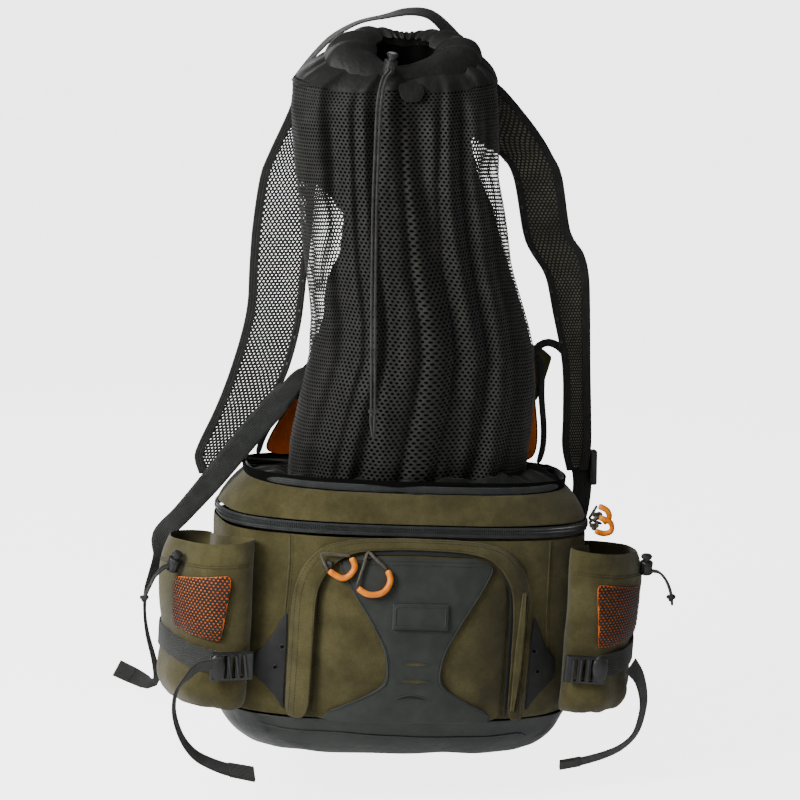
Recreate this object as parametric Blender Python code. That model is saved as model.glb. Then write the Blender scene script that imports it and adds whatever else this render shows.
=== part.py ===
"""Hip pack hanging from its grab handle, with a mesh sack stretched up out of its open top.

Lengths in the tables are millimetres. The pack's own body is laid out upright and symmetrical, then
tipped by HANG_TILT as it hangs; the sack, straps and free ends are laid out directly as they hang.
Every piece is moved at the end so that the hook's place under the handle is the origin.
"""
import math

import bmesh
import bpy
from mathutils import Matrix, Vector

MM = 0.001
HANG = Vector((12.0, 40.0, 3.2))
HANG_TILT = math.radians(4.0)
TILT_PIVOT = Vector((0.0, 0.0, -640.0))
BODY_SHIFT = Vector((-5.0, 0.0, 0.0))
GAP = 0.35

# Body sections, upright: height, half width, depth in front, depth behind, drop of the front edge.
BODY = [
    (-490.0, 177.0, 82.0, 62.0, 10.0),
    (-510.0, 195.0, 90.0, 71.0, 6.0),
    (-530.0, 205.0, 95.0, 78.0, 2.0),
    (-543.5, 206.0, 97.0, 80.0, 1.0),
    (-600.0, 204.0, 103.0, 84.0, 0.0),
    (-660.0, 203.0, 107.0, 86.0, 0.0),
    (-720.0, 200.0, 108.0, 86.0, 0.0),
    (-744.0, 198.0, 107.0, 86.0, 0.0),
    (-757.0, 193.0, 102.0, 83.0, 0.0),
    (-766.0, 190.0, 101.5, 81.0, 0.0),
    (-778.0, 180.0, 95.0, 76.0, 0.0),
    (-790.0, 163.0, 82.0, 64.0, 0.0),
]
BODY_POWER = 3.0
BODY_POINTS = 32
CLOTH = 2.2
RIM_Z = -490.0
HINGE_Z = -489.4
ZIP_TOP = -530.0
ZIP_LOW = -543.5
BASE_SEAM = -744.0
FLOOR_Z = -790.0
FLOOR_THICK = 3.0

# Sack sections as it hangs: height, left, right, front, back, how much the back stands above the front.
SACK = [
    (-48.0, -84.0, 90.0, -36.0, 30.0, 17.0),
    (-62.0, -114.0, 105.0, -45.0, 34.0, 11.0),
    (-92.0, -118.5, 107.0, -52.0, 37.0, 5.0),
    (-170.0, -111.5, 107.0, -61.0, 35.0, 0.0),
    (-262.0, -104.0, 122.0, -67.0, 32.0, 0.0),
    (-320.0, -97.0, 137.0, -74.0, 32.0, 0.0),
    (-358.0, -99.0, 147.0, -77.0, 32.0, 0.0),
    (-400.0, -110.0, 149.0, -78.0, 34.0, 0.0),
    (-452.0, -121.0, 146.0, -74.0, 36.0, 0.0),
    (-508.0, -126.0, 138.0, -66.0, 38.0, 0.0),
]
SACK_POINTS = 32
SACK_WALL = 1.2
# Folds of the sack: place across the width at the top and at the bottom, half width, depth, back or front.
SACK_FOLDS = [
    (-0.62, -0.86, 0.11, 9.0, -1.0),
    (-0.20, -0.42, 0.12, 6.0, -1.0),
    (0.22, 0.10, 0.14, 5.0, -1.0),
    (0.60, 0.50, 0.12, 8.0, -1.0),
    (0.85, 0.78, 0.08, 5.0, -1.0),
    (-0.45, -0.50, 0.16, 5.0, 1.0),
    (0.40, 0.45, 0.16, 5.0, 1.0),
]

# Front pocket wall: height, half width, share of the full lift off the body.
FRONT_POCKET = [
    (-553.5, 64.0, 0.00),
    (-559.0, 80.0, 0.12),
    (-567.0, 93.0, 0.30),
    (-579.0, 101.0, 0.52),
    (-598.0, 103.0, 0.76),
    (-625.0, 103.0, 0.93),
    (-660.0, 103.0, 1.00),
    (-700.0, 103.0, 0.86),
    (-725.0, 103.0, 0.60),
    (-743.3, 103.0, 0.34),
]
FRONT_LIFT = 20.0
FRONT_WALL = 2.0
# Dark front panel, wide at the top and bottom with a waist: height, half width.
FRONT_PANEL = [
    (-563.6, 60.0),
    (-567.0, 76.0),
    (-571.0, 85.0),
    (-579.0, 82.0),
    (-598.0, 70.5),
    (-625.0, 52.5),
    (-645.0, 41.0),
    (-660.0, 33.5),
    (-676.0, 30.0),
    (-690.0, 29.5),
    (-700.0, 34.0),
    (-711.0, 49.5),
    (-725.0, 74.0),
    (-734.0, 90.0),
    (-743.3, 95.0),
]
PANEL_THICK = 1.2
PANEL_GAP = 1.3
# Arch over the front pocket, right half from the foot up: outer x and z, inner x and z, lift of the inner edge.
ARCH = [
    (131.0, -743.3, 105.0, -743.3, 13.0),
    (131.0, -700.0, 105.0, -700.0, 14.0),
    (131.0, -650.0, 105.0, -650.0, 13.0),
    (130.0, -612.0, 105.0, -614.0, 12.0),
    (126.0, -590.0, 102.0, -596.0, 11.0),
    (117.0, -572.0, 95.0, -582.0, 11.0),
    (104.0, -558.5, 86.0, -570.0, 11.0),
    (88.0, -551.0, 74.0, -562.0, 10.0),
    (60.0, -546.5, 54.0, -558.0, 8.0),
    (30.0, -545.0, 28.0, -556.5, 7.0),
    (0.0, -544.6, 0.0, -556.0, 7.0),
]
ARCH_THICK = 2.4
# Rubber wing beside the arch, right side: height, inner x, outer x.
WING = [
    (-630.0, 133.5, 136.5),
    (-650.0, 132.5, 145.0),
    (-664.0, 132.0, 152.5),
    (-672.0, 132.0, 158.0),
    (-676.0, 132.0, 165.0),
    (-689.0, 132.0, 166.0),
    (-702.0, 132.0, 165.0),
    (-706.0, 132.0, 158.0),
    (-714.0, 132.0, 149.0),
    (-725.0, 132.0, 139.0),
    (-734.0, 132.0, 134.0),
]
WING_THICK = 2.0

# Side pocket seen from above at mid height, right side, from the front seam round to the body's side.
POCKET_ARC = [
    (169.0, -85.0),
    (174.0, -103.0),
    (200.0, -113.0),
    (235.0, -99.0),
    (261.0, -63.0),
    (270.0, -25.0),
    (262.0, 8.0),
    (240.0, 28.0),
    (214.0, 35.0),
    (203.0, 30.0),
]
# Side pocket sections: height, share of the bulge outwards.
POCKET_LEVELS = [
    (-738.5, 0.80),
    (-722.0, 0.97),
    (-704.0, 0.91),
    (-661.0, 0.90),
    (-646.0, 0.98),
    (-604.0, 1.00),
    (-580.0, 0.94),
]
POCKET_RIM_FRONT = -551.0
POCKET_RIM_BACK = -573.0
POCKET_RIM_SHARE = 0.85
POCKET_WALL = 2.0
POCKET_ROOT = 205.0
LEFT_SWELL = 0.93
POCKET_OUT_POINTS = 16
POCKET_IN_POINTS = 6
STRAP_WIDTH = 25.0
STRAP_BACK_Z = -674.0
BUCKLE_Z = {"left": -684.5, "right": -682.0}
WEB_THICK = 1.6

# Shoulder straps as they hang: height, outer edge, inner edge, depth.
STRAP_LEFT = [
    (-70.0, -110.0, -82.0, 44.0),
    (-94.0, -112.0, -82.0, 44.0),
    (-146.0, -136.5, -85.0, 43.0),
    (-171.0, -146.5, -86.0, 41.0),
    (-223.0, -155.5, -90.0, 38.0),
    (-268.0, -160.0, -96.0, 34.0),
    (-305.0, -163.0, -101.0, 28.0),
    (-337.0, -170.5, -107.0, 22.0),
    (-380.0, -185.5, -121.0, 14.0),
    (-418.0, -202.0, -141.0, 8.0),
    (-455.0, -221.0, -163.0, 4.0),
    (-470.0, -225.5, -176.0, 2.0),
    (-487.0, -221.0, -190.0, 0.0),
]
STRAP_RIGHT = [
    (-64.0, 104.0, 76.0, 44.0),
    (-80.0, 124.0, 78.0, 44.0),
    (-110.0, 150.0, 84.0, 44.0),
    (-133.0, 167.0, 92.0, 43.0),
    (-152.0, 178.0, 119.0, 42.0),
    (-176.0, 189.0, 134.0, 41.0),
    (-237.0, 199.0, 145.0, 39.0),
    (-259.0, 213.0, 154.0, 38.0),
    (-285.0, 220.0, 170.0, 37.0),
    (-325.0, 222.0, 179.0, 37.0),
    (-385.0, 223.5, 191.0, 38.0),
    (-442.0, 225.5, 193.0, 39.0),
    (-480.0, 226.5, 193.0, 41.0),
    (-508.0, 223.0, 199.0, 43.0),
]
STRAP_THICK = 5.0

# Grab handle: x, depth, height, turn of its width away from the depth direction in degrees, width.
HANDLE = [
    (-109.5, 43.4, -68.9, 8.0, 14.0),
    (-101.0, 43.0, -58.0, 8.0, 16.0),
    (-84.0, 42.0, -38.0, 8.0, 18.0),
    (-65.0, 41.0, -20.6, 8.0, 20.0),
    (-38.0, 40.0, -6.3, 6.0, 20.0),
    (-8.4, 40.0, -0.1, 10.0, 20.0),
    (7.3, 40.0, 3.5, 18.0, 20.0),
    (18.3, 40.0, 4.8, 22.0, 20.0),
    (33.4, 40.0, 3.6, 30.0, 20.0),
    (47.2, 41.0, -3.2, 40.0, 20.0),
    (66.0, 43.0, -22.0, 52.0, 20.0),
    (84.0, 46.5, -42.0, 56.0, 17.0),
    (98.0, 48.7, -59.1, 58.0, 14.0),
]

COLORS = {
    "olive": (0.105, 0.085, 0.042, 1.0, 0.95),
    "charcoal": (0.040, 0.044, 0.040, 1.0, 0.60),
    "base": (0.030, 0.035, 0.032, 1.0, 0.35),
    "black": (0.014, 0.014, 0.013, 1.0, 0.80),
    "webbing": (0.024, 0.026, 0.023, 1.0, 0.75),
    "zip": (0.030, 0.034, 0.033, 1.0, 0.55),
    "plastic": (0.018, 0.019, 0.018, 1.0, 0.40),
    "orange": (0.75, 0.115, 0.008, 1.0, 0.60),
    "tube": (0.85, 0.190, 0.012, 1.0, 0.45),
    "cord": (0.075, 0.068, 0.048, 1.0, 0.85),
}


def clear_scene():
    for item in list(bpy.data.objects):
        bpy.data.objects.remove(item, do_unlink=True)


def new_collection(name):
    made = bpy.data.collections.new(name)
    bpy.context.scene.collection.children.link(made)
    return made


clear_scene()
PACK = new_collection("hip_pack")
CUTTERS = new_collection("cutters")


def material(name, kind):
    made = bpy.data.materials.new(name + "_material")
    made.use_nodes = True
    red, green, blue, alpha, rough = COLORS[kind]
    shader = made.node_tree.nodes["Principled BSDF"]
    shader.inputs["Base Color"].default_value = (red, green, blue, alpha)
    shader.inputs["Roughness"].default_value = rough
    made.diffuse_color = (red, green, blue, alpha)
    return made


def tilt(point):
    """Tips an upright point of the body about the pivot, as the pack hangs."""
    turn = Matrix.Rotation(HANG_TILT, 3, "Y")
    return turn @ (Vector(point) - TILT_PIVOT) + TILT_PIVOT + BODY_SHIFT


def hung(point):
    """Millimetres as laid out to metres about the hook's place."""
    return (Vector(point) - HANG) * MM


def finish(name, kind, made, smooth=True):
    """Turns the faces of a bmesh outwards, moves it from millimetres to its place and names it."""
    made.normal_update()
    bmesh.ops.recalc_face_normals(made, faces=made.faces[:])
    for v in made.verts:
        v.co = hung(v.co)
    mesh = bpy.data.meshes.new(name)
    made.to_mesh(mesh)
    made.free()
    mesh.polygons.foreach_set("use_smooth", [smooth] * len(mesh.polygons))
    item = bpy.data.objects.new(name, mesh)
    PACK.objects.link(item)
    mesh.materials.append(material(name, kind))
    return item


def loft(name, kind, rings, loop=False, upright=True, smooth=True):
    """Skins rings of equal length; loop joins the last ring to the first, else both ends are capped."""
    made = bmesh.new()
    rows = []
    for ring in rings:
        moved = [tilt(p) if upright else Vector(p) for p in ring]
        rows.append([made.verts.new(p) for p in moved])
    count = len(rows[0])
    pairs = list(zip(rows, rows[1:]))
    if loop:
        pairs.append((rows[-1], rows[0]))
    for low, high in pairs:
        for i in range(count):
            j = (i + 1) % count
            made.faces.new((low[i], low[j], high[j], high[i]))
    if not loop:
        made.faces.new(rows[0])
        made.faces.new(rows[-1])
    return finish(name, kind, made, smooth)


def slab(name, kind, under, over, upright=True, smooth=True):
    """A cloth or plate between two grids of points with the same rows and columns."""
    made = bmesh.new()
    grids = []
    for grid in (under, over):
        rows = []
        for row in grid:
            moved = [tilt(p) if upright else Vector(p) for p in row]
            rows.append([made.verts.new(p) for p in moved])
        grids.append(rows)
    for rows in grids:
        for low, high in zip(rows, rows[1:]):
            for i in range(len(low) - 1):
                made.faces.new((low[i], low[i + 1], high[i + 1], high[i]))
    below, above = grids
    for r in range(len(below) - 1):
        for c in (0, len(below[0]) - 1):
            made.faces.new((below[r][c], below[r + 1][c], above[r + 1][c], above[r][c]))
    for r in (0, len(below) - 1):
        for c in range(len(below[0]) - 1):
            made.faces.new((below[r][c], below[r][c + 1], above[r][c + 1], above[r][c]))
    return finish(name, kind, made, smooth)


def ribbon(name, kind, rows, thick, upright=False):
    """A flat band: rows are (centre, across) with across a vector of the full width."""
    centres = [Vector(row[0]) for row in rows]
    rings = []
    for i, (centre, across) in enumerate(rows):
        centre = Vector(centre)
        across = Vector(across)
        ahead = centres[min(i + 1, len(rows) - 1)] - centres[max(i - 1, 0)]
        normal = ahead.cross(across).normalized() * (thick / 2.0)
        half = across / 2.0
        rings.append([centre - half - normal, centre + half - normal,
                      centre + half + normal, centre - half + normal])
    return loft(name, kind, rings, upright=upright, smooth=False)


def smooth_path(points, spacing):
    """A curve through the points, sampled about every spacing."""
    points = [Vector(p) for p in points]
    ends = [points[0] * 2 - points[1]] + points + [points[-1] * 2 - points[-2]]
    out = []
    for i in range(1, len(ends) - 2):
        a, b, c, d = ends[i - 1], ends[i], ends[i + 1], ends[i + 2]
        steps = max(1, round((c - b).length / spacing))
        for s in range(steps):
            t = s / steps
            out.append(0.5 * (2 * b + (c - a) * t + (2 * a - 5 * b + 4 * c - d) * t * t
                              + (3 * b - a - 3 * c + d) * t ** 3))
    out.append(points[-1])
    return out


def cord(name, kind, points, radius, spacing, upright=False, resolution=2):
    """A round cord or tube along a route."""
    route = smooth_path(points, spacing)
    curve = bpy.data.curves.new(name, "CURVE")
    curve.dimensions = "3D"
    curve.bevel_depth = radius * MM
    curve.bevel_resolution = resolution
    curve.use_fill_caps = True
    line = curve.splines.new("POLY")
    line.points.add(len(route) - 1)
    for spot, place in zip(line.points, route):
        spot.co = (*hung(tilt(place) if upright else place), 1.0)
    line.use_smooth = True
    item = bpy.data.objects.new(name, curve)
    PACK.objects.link(item)
    curve.materials.append(material(name, kind))
    return item


def interpolate(table, z):
    """A row of a table of heights, falling from first to last, read at height z."""
    if z >= table[0][0]:
        return table[0][1:]
    for high, low in zip(table, table[1:]):
        if z >= low[0]:
            t = (high[0] - z) / (high[0] - low[0])
            return tuple(a + (b - a) * t for a, b in zip(high[1:], low[1:]))
    return table[-1][1:]


def body_ring(z, out):
    """A ring of the body at a height, moved outwards by out."""
    half, front, back, drop = interpolate(BODY, z)
    ring = []
    for i in range(BODY_POINTS):
        angle = 2 * math.pi * i / BODY_POINTS
        c, s = math.cos(angle), math.sin(angle)
        x = (half + out) * math.copysign(abs(c) ** (2 / BODY_POWER), c)
        depth = (back if s > 0 else front) + out
        y = depth * math.copysign(abs(s) ** (2 / BODY_POWER), s)
        ring.append(Vector((x, y, z + drop * (s - 1) / 2)))
    return ring


def body_band(name, kind, heights, wall, out=0.0, floor=False):
    """A piece of the body's wall between the first and last of the heights, falling."""
    outer = [body_ring(z, out) for z in reversed(heights)]
    inner_heights = list(heights)
    if floor:
        inner_heights = [z for z in heights if z > heights[-1] + FLOOR_THICK] + [heights[-1] + FLOOR_THICK]
    inner = [body_ring(z, out - wall) for z in inner_heights]
    return loft(name, kind, outer + inner, loop=not floor)


def skin(x, z, out, side=-1):
    """A point on the body's front (side -1) or back (side 1) at x and z, moved out along its normal."""
    half, front, back, _ = interpolate(BODY, z)
    depth = front if side < 0 else back
    share = min(abs(x) / half, 0.985)
    y = depth * (1 - share ** BODY_POWER) ** (1 / BODY_POWER)
    normal = Vector((math.copysign(share ** (BODY_POWER - 1) / half, x),
                     side * (y / depth) ** (BODY_POWER - 1) / depth)).normalized()
    return Vector((x + normal.x * out, side * y + normal.y * out, z))


def front_lift(x, z):
    """How far the front pocket's wall stands off the body."""
    half, share = interpolate(FRONT_POCKET, z)
    across = min(abs(x) / half, 1.0)
    return FRONT_LIFT * share * (1 - across ** 4)


def patch(name, kind, rows, columns, under, thick):
    """A slab on the body's front: rows of (height, left x, right x), under gives the lower face's lift."""
    low = []
    top = []
    for z, left, right in rows:
        xs = [left + (right - left) * c / columns for c in range(columns + 1)]
        low.append([skin(x, z, under(x, z)) for x in xs])
        top.append([skin(x, z, under(x, z) + thick) for x in xs])
    return slab(name, kind, low, top)


def make_body():
    body_band("upper_band", "olive", [RIM_Z, -510.0, ZIP_TOP + GAP], CLOTH)
    body_band("expansion_zip", "zip", [ZIP_TOP, ZIP_LOW + GAP], 2.6, out=1.2)
    body_band("main_body", "olive", [ZIP_LOW, -600.0, -660.0, -720.0, BASE_SEAM + GAP], CLOTH)
    body_band("base_panel", "base", [BASE_SEAM, -757.0, -766.0, -778.0, FLOOR_Z], 2.0, floor=True)
    rows = []
    for z in (-552.0, -580.0, -640.0, -700.0, -738.0):
        rows.append((z, 140.0))
    low = [[skin(h * c / 4, z, 1.4, 1) for c in range(-4, 5)] for z, h in rows]
    top = [[skin(h * c / 4, z, 10.0, 1) for c in range(-4, 5)] for z, h in rows]
    slab("back_panel", "black", low, top)


def rim_angle_points(first, last, count, z, out):
    """Points along the rim between two angles, in degrees round from the right."""
    half, front, back, drop = interpolate(BODY, z)
    points = []
    for i in range(count):
        angle = math.radians(first + (last - first) * i / (count - 1))
        c, s = math.cos(angle), math.sin(angle)
        x = (half + out) * math.copysign(abs(c) ** (2 / BODY_POWER), c)
        y = ((back if s > 0 else front) + out) * math.copysign(abs(s) ** (2 / BODY_POWER), s)
        points.append(Vector((x, y, z + drop * (s - 1) / 2)))
    return points


def make_rim():
    tape = rim_angle_points(-205.0, 25.0, 30, RIM_Z, -1.5)
    rows = [(p + Vector((0, 0, 4.0 + GAP)), (0.0, 0.0, 8.0)) for p in tape]
    ribbon("rim_zip", "zip", rows, 2.4, upright=True)


def make_lid():
    """The open lid, standing up behind the sack: height, half width, depth at the middle, curl forward."""
    table = [
        (-489.4, 156.0, 64.0, 16.0),
        (-472.0, 162.0, 66.0, 18.0),
        (-446.0, 160.0, 68.0, 20.0),
        (-420.0, 154.0, 71.0, 22.0),
        (-396.0, 155.0, 73.0, 22.0),
        (-380.0, 150.0, 75.0, 20.0),
        (-369.0, 130.0, 76.0, 16.0),
        (-364.0, 98.0, 77.0, 10.0),
    ]
    columns = 8
    lining = [[], []]
    cloth = [[], []]
    edge = []
    for z, half, depth, curl in table:
        spots = []
        for c in range(columns + 1):
            share = 2.0 * c / columns - 1.0
            high = HINGE_Z + (z - HINGE_Z) * (1.0 + 0.104 * share)
            spots.append(Vector((half * share, depth - curl * abs(share) ** 3, high)))
        cloth[0].append(spots)
        cloth[1].append([p + Vector((0, CLOTH, 0)) for p in spots])
        inset = [Vector((p.x * 0.985, p.y - GAP, p.z)) for p in spots]
        lining[0].append([p - Vector((0, 1.0, 0)) for p in inset])
        lining[1].append(inset)
        edge.append((spots[0], spots[-1]))
    slab("lid_outer", "olive", cloth[0], cloth[1])
    slab("lid_lining", "orange", lining[0], lining[1])
    left = [pair[0] for pair in edge]
    right = [pair[1] for pair in edge]
    loop = left + list(reversed(right))
    centre = Vector((0.0, 60.0, -430.0))
    rows = []
    for p in loop:
        out = Vector((p.x - centre.x, 0.0, (p.z - centre.z) * 0.6)).normalized()
        rows.append((p + out * 5.2 + Vector((0, 0.8, 0)), Vector((out.x * 8.0, 0, out.z * 8.0))))
    ribbon("lid_zip", "zip", rows, 2.0, upright=True)


def make_front():
    rows = [(z, -h, h) for z, h, _ in FRONT_POCKET]
    patch("front_pocket", "olive", rows, 10, lambda x, z: GAP + front_lift(x, z), FRONT_WALL)
    above = GAP + FRONT_WALL + PANEL_GAP
    rows = [(z, -h, h) for z, h in FRONT_PANEL]
    patch("front_panel", "charcoal", rows, 6, lambda x, z: above + front_lift(x, z), PANEL_THICK)
    full = [(-xo, zo, -xi, zi, lift) for xo, zo, xi, zi, lift in ARCH]
    full += list(reversed(ARCH[:-1]))
    low = []
    top = []
    for xo, zo, xi, zi, lift in full:
        spots = []
        for share, height in ((0.0, GAP), (0.35, 0.60 * lift), (1.0, lift)):
            x = xo + (xi - xo) * share
            z = zo + (zi - zo) * share
            spots.append((x, z, height))
        low.append([skin(x, z, h) for x, z, h in spots])
        top.append([skin(x, z, h + ARCH_THICK) for x, z, h in spots])
    slab("front_arch", "olive", low, top)
    low = []
    top = []
    for xo, zo, xi, zi, lift in full:
        side = Vector((xi - xo, zi - zo)).normalized()
        a = Vector((xi, zi)) - side * 5.0
        b = Vector((xi, zi)) + side * (5.5 if abs(xi) < 60 else 0.0)
        low.append([skin(p.x, p.y, above + front_lift(p.x, p.y)) for p in (a, b)])
        top.append([skin(p.x, p.y, above + front_lift(p.x, p.y) + 1.0) for p in (a, b)])
    slab("front_zip", "zip", low, top, smooth=False)


def box(name, kind, size, centre, turn, bevel, segments=2, upright=True):
    """A bevelled box of a size at a centre, turned by a matrix."""
    made = bmesh.new()
    bmesh.ops.create_cube(made, size=1.0)
    bmesh.ops.scale(made, vec=Vector(size), verts=made.verts[:])
    if bevel:
        bmesh.ops.bevel(made, geom=made.edges[:], offset=bevel, segments=segments, affect="EDGES",
                        profile=0.5)
    for v in made.verts:
        spot = turn @ v.co + Vector(centre)
        v.co = tilt(spot) if upright else spot
    return finish(name, kind, made)


def make_badge():
    z = -623.0
    above = GAP + FRONT_WALL + PANEL_GAP + PANEL_THICK
    spot = skin(3.0, z, above + front_lift(0, z))
    upper = skin(3.0, z + 12, above + front_lift(0, z + 12))
    slope = math.atan2(spot.y - upper.y, 12.0)
    turn = Matrix.Rotation(slope, 3, "X")
    push = turn @ Vector((0, -1, 0))
    box("badge", "charcoal", (60.0, 2.4, 27.0), spot + push * (1.2 + 0.5), turn, 0.8)


def arc_point(points, share):
    """A smooth point along a list of points, share 0 to 1 by length."""
    fine = smooth_path([Vector((x, y, 0)) for x, y in points], 3.0)
    lengths = [0.0]
    for a, b in zip(fine, fine[1:]):
        lengths.append(lengths[-1] + (b - a).length)
    want = share * lengths[-1]
    for i in range(len(fine) - 1):
        if lengths[i + 1] >= want:
            t = (want - lengths[i]) / (lengths[i + 1] - lengths[i])
            return fine[i].lerp(fine[i + 1], t)
    return fine[-1]


def pocket_spot(share, z, out=0.0, bulge=None):
    """A point on the right side pocket's outer face, share round from its front seam, and its normal."""
    if bulge is None:
        rising = [(h, b) for h, b in reversed(POCKET_LEVELS)]
        bulge = interpolate([(-551.0, POCKET_RIM_SHARE)] + rising, z)[0]
    root = Vector((POCKET_ROOT, -15.0, 0.0))

    def at(s):
        p = arc_point(POCKET_ARC, min(max(s, 0.0), 1.0))
        side = skin_side(p.y, z)
        fade = math.sin(math.pi * min(max(s, 0.0), 1.0)) ** 0.5
        keep = bulge + (1 - bulge) * (1 - fade)
        q = root + (p - root) * keep
        q.x = max(q.x, side + 1.0) if q.y > -70 else q.x
        return q

    here = at(share)
    ahead = at(share + 0.02) - at(share - 0.02)
    normal = Vector((ahead.y, -ahead.x, 0)).normalized()
    return here + normal * out + Vector((0, 0, z)), normal


def skin_side(y, z):
    """The body's side x at a depth y and height z."""
    half, front, back, _ = interpolate(BODY, z)
    depth = front if y < 0 else back
    share = min(abs(y) / depth, 0.985)
    return half * (1 - share ** BODY_POWER) ** (1 / BODY_POWER)


def mirror(point, side):
    """A point of the right side as it is, or carried to the left, where the pocket swells less."""
    x = point[0]
    if side < 0 and x > POCKET_ROOT:
        x = POCKET_ROOT + (x - POCKET_ROOT) * LEFT_SWELL
    return Vector((x * side, point[1], point[2]))


def pocket_ring(z, bulge, inset, rim=False):
    """A closed ring of the side pocket: round its outer face, then back along the body's side."""
    ring = []
    for i in range(POCKET_OUT_POINTS):
        share = i / (POCKET_OUT_POINTS - 1)
        height = z
        if rim:
            height = POCKET_RIM_FRONT + (POCKET_RIM_BACK - POCKET_RIM_FRONT) * share
        spot, normal = pocket_spot(share, z, 0.0, bulge)
        ring.append(Vector((spot.x, spot.y, height)))
    first = ring[0]
    last = ring[-1]
    for i in range(1, POCKET_IN_POINTS + 1):
        share = i / (POCKET_IN_POINTS + 1)
        y = last.y + (first.y - last.y) * share
        x = skin_side(y, z) + 2.0
        height = z
        if rim:
            height = POCKET_RIM_BACK + (POCKET_RIM_FRONT - POCKET_RIM_BACK) * share
        ring.append(Vector((x, y, height)))
    if not inset:
        return ring
    count = len(ring)
    moved = []
    for i in range(count):
        a, b, c = ring[i - 1], ring[i], ring[(i + 1) % count]
        ahead = Vector((c.x - a.x, c.y - a.y, 0)).normalized()
        moved.append(b + Vector((-ahead.y, ahead.x, 0)) * inset)
    return moved


def make_pockets():
    for side, label in ((-1, "left"), (1, "right")):
        outer = [pocket_ring(z, bulge, 0.0) for z, bulge in POCKET_LEVELS]
        outer.append(pocket_ring(-562.0, POCKET_RIM_SHARE, 0.0, rim=True))
        inner = [pocket_ring(-562.0, POCKET_RIM_SHARE, POCKET_WALL, rim=True)]
        for z, bulge in reversed(POCKET_LEVELS[1:]):
            inner.append(pocket_ring(z, bulge, POCKET_WALL))
        rings = [[mirror(p, side) for p in ring] for ring in outer + inner]
        loft("side_pocket_" + label, "olive", rings)
        low = []
        top = []
        for step in range(6):
            share = step / 5
            a = []
            b = []
            for c in range(7):
                s = 0.16 + 0.28 * c / 6
                high = -586.0 - 12.0 * c / 6
                floor = -661.0 + 8.0 * c / 6
                z = high + (floor - high) * share
                shift = 0.03 * share * (1 - c / 6)
                a.append(mirror(pocket_spot(s + shift, z, 1.3)[0], side))
                b.append(mirror(pocket_spot(s + shift, z, 2.3)[0], side))
            low.append(a)
            top.append(b)
        slab("pocket_window_" + label, "orange", low, top)


def make_wings():
    for side, label in ((-1, "left"), (1, "right")):
        rows = [(z, a * side, b * side) for z, a, b in WING]
        patch("wing_" + label, "charcoal", rows, 3, lambda x, z: GAP, WING_THICK)


def boolean(item, cutter, operation):
    step = item.modifiers.new(operation.lower(), "BOOLEAN")
    step.object = cutter
    step.operation = operation
    step.solver = "EXACT"
    CUTTERS.objects.link(cutter)
    PACK.objects.unlink(cutter)
    cutter.hide_render = True
    cutter.display_type = "WIRE"


def make_buckles():
    for side, label in ((-1, "left"), (1, "right")):
        spot, normal = pocket_spot(0.145, BUCKLE_Z[label], 6.4)
        spot = mirror(spot, side)
        angle = math.atan2(normal.x, -normal.y) * side * 0.55
        turn = Matrix.Rotation(angle, 3, "Z") @ Matrix.Rotation(math.radians(2.0) * side, 3, "Y")
        item = box("side_buckle_" + label, "plastic", (46.0, 6.0, 31.0), spot, turn, 2.2)
        for k, shift in enumerate((-11.0, -2.0, 7.0)):
            place = spot + turn @ Vector((shift * side, 0, 0))
            cutter = box("slot_%s_%d" % (label, k), "plastic", (3.4, 12.0, 25.0), place, turn, 0.0)
            boolean(item, cutter, "DIFFERENCE")


def make_side_straps():
    for side, label in ((-1, "left"), (1, "right")):
        rows = []
        front = BUCKLE_Z[label] + 1.0
        for i in range(15):
            share = 0.17 + 0.81 * i / 14
            z = front + (STRAP_BACK_Z - front) * min(1.0, (share - 0.17) / 0.35)
            spot, normal = pocket_spot(share, z, 2.4)
            rows.append((mirror(spot, side), (0.0, 0.0, STRAP_WIDTH)))
        for x, y in ((205.0, 42.0), (190.0, 62.0), (172.0, 77.0)):
            rows.append((Vector((x * side, y, -672.0)), (0.0, 0.0, STRAP_WIDTH)))
        ribbon("side_strap_" + label, "webbing", rows, WEB_THICK, upright=True)


# Loose ends of the side straps as they hang: x, depth, height, turn of the width in degrees, width.
TAIL_LEFT = [
    (-218.4, -124.4, -664.4, 40.0, 22.0),
    (-236.0, -132.0, -664.0, 48.0, 22.0),
    (-249.0, -132.0, -676.0, 62.0, 22.0),
    (-259.0, -128.0, -690.0, 72.0, 22.0),
    (-262.0, -124.0, -709.0, 76.0, 22.0),
    (-259.5, -120.0, -728.0, 78.0, 22.0),
    (-252.5, -116.0, -748.0, 78.0, 22.0),
    (-242.0, -112.0, -764.0, 76.0, 22.0),
    (-229.0, -108.0, -775.0, 74.0, 22.0),
    (-206.0, -104.0, -787.0, 70.0, 22.0),
    (-176.0, -100.0, -796.0, 66.0, 22.0),
]
TAIL_RIGHT = [
    (238.0, -100.0, -697.0, 30.0, 22.0),
    (248.0, -97.0, -711.0, 60.0, 22.0),
    (256.0, -88.0, -734.0, 74.0, 22.0),
    (258.0, -80.0, -756.0, 76.0, 22.0),
    (253.0, -72.0, -783.0, 76.0, 22.0),
    (240.0, -66.0, -802.0, 74.0, 22.0),
    (222.0, -62.0, -815.0, 72.0, 22.0),
    (196.0, -60.0, -823.0, 68.0, 22.0),
    (170.0, -58.0, -827.0, 62.0, 22.0),
]


def turned_rows(table):
    """Rows of a ribbon whose width turns from across its path towards the depth direction."""
    spots = [Vector(row[:3]) for row in table]
    rows = []
    for i, row in enumerate(table):
        ahead = (spots[min(i + 1, len(spots) - 1)] - spots[max(i - 1, 0)]).normalized()
        depth = Vector((0, 1, 0))
        depth = (depth - ahead * depth.dot(ahead)).normalized()
        flat = ahead.cross(depth)
        turn = math.radians(row[3])
        rows.append((spots[i], (flat * math.cos(turn) + depth * math.sin(turn)) * row[4]))
    return rows


def sack_section(z):
    return interpolate(SACK, z)


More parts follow.
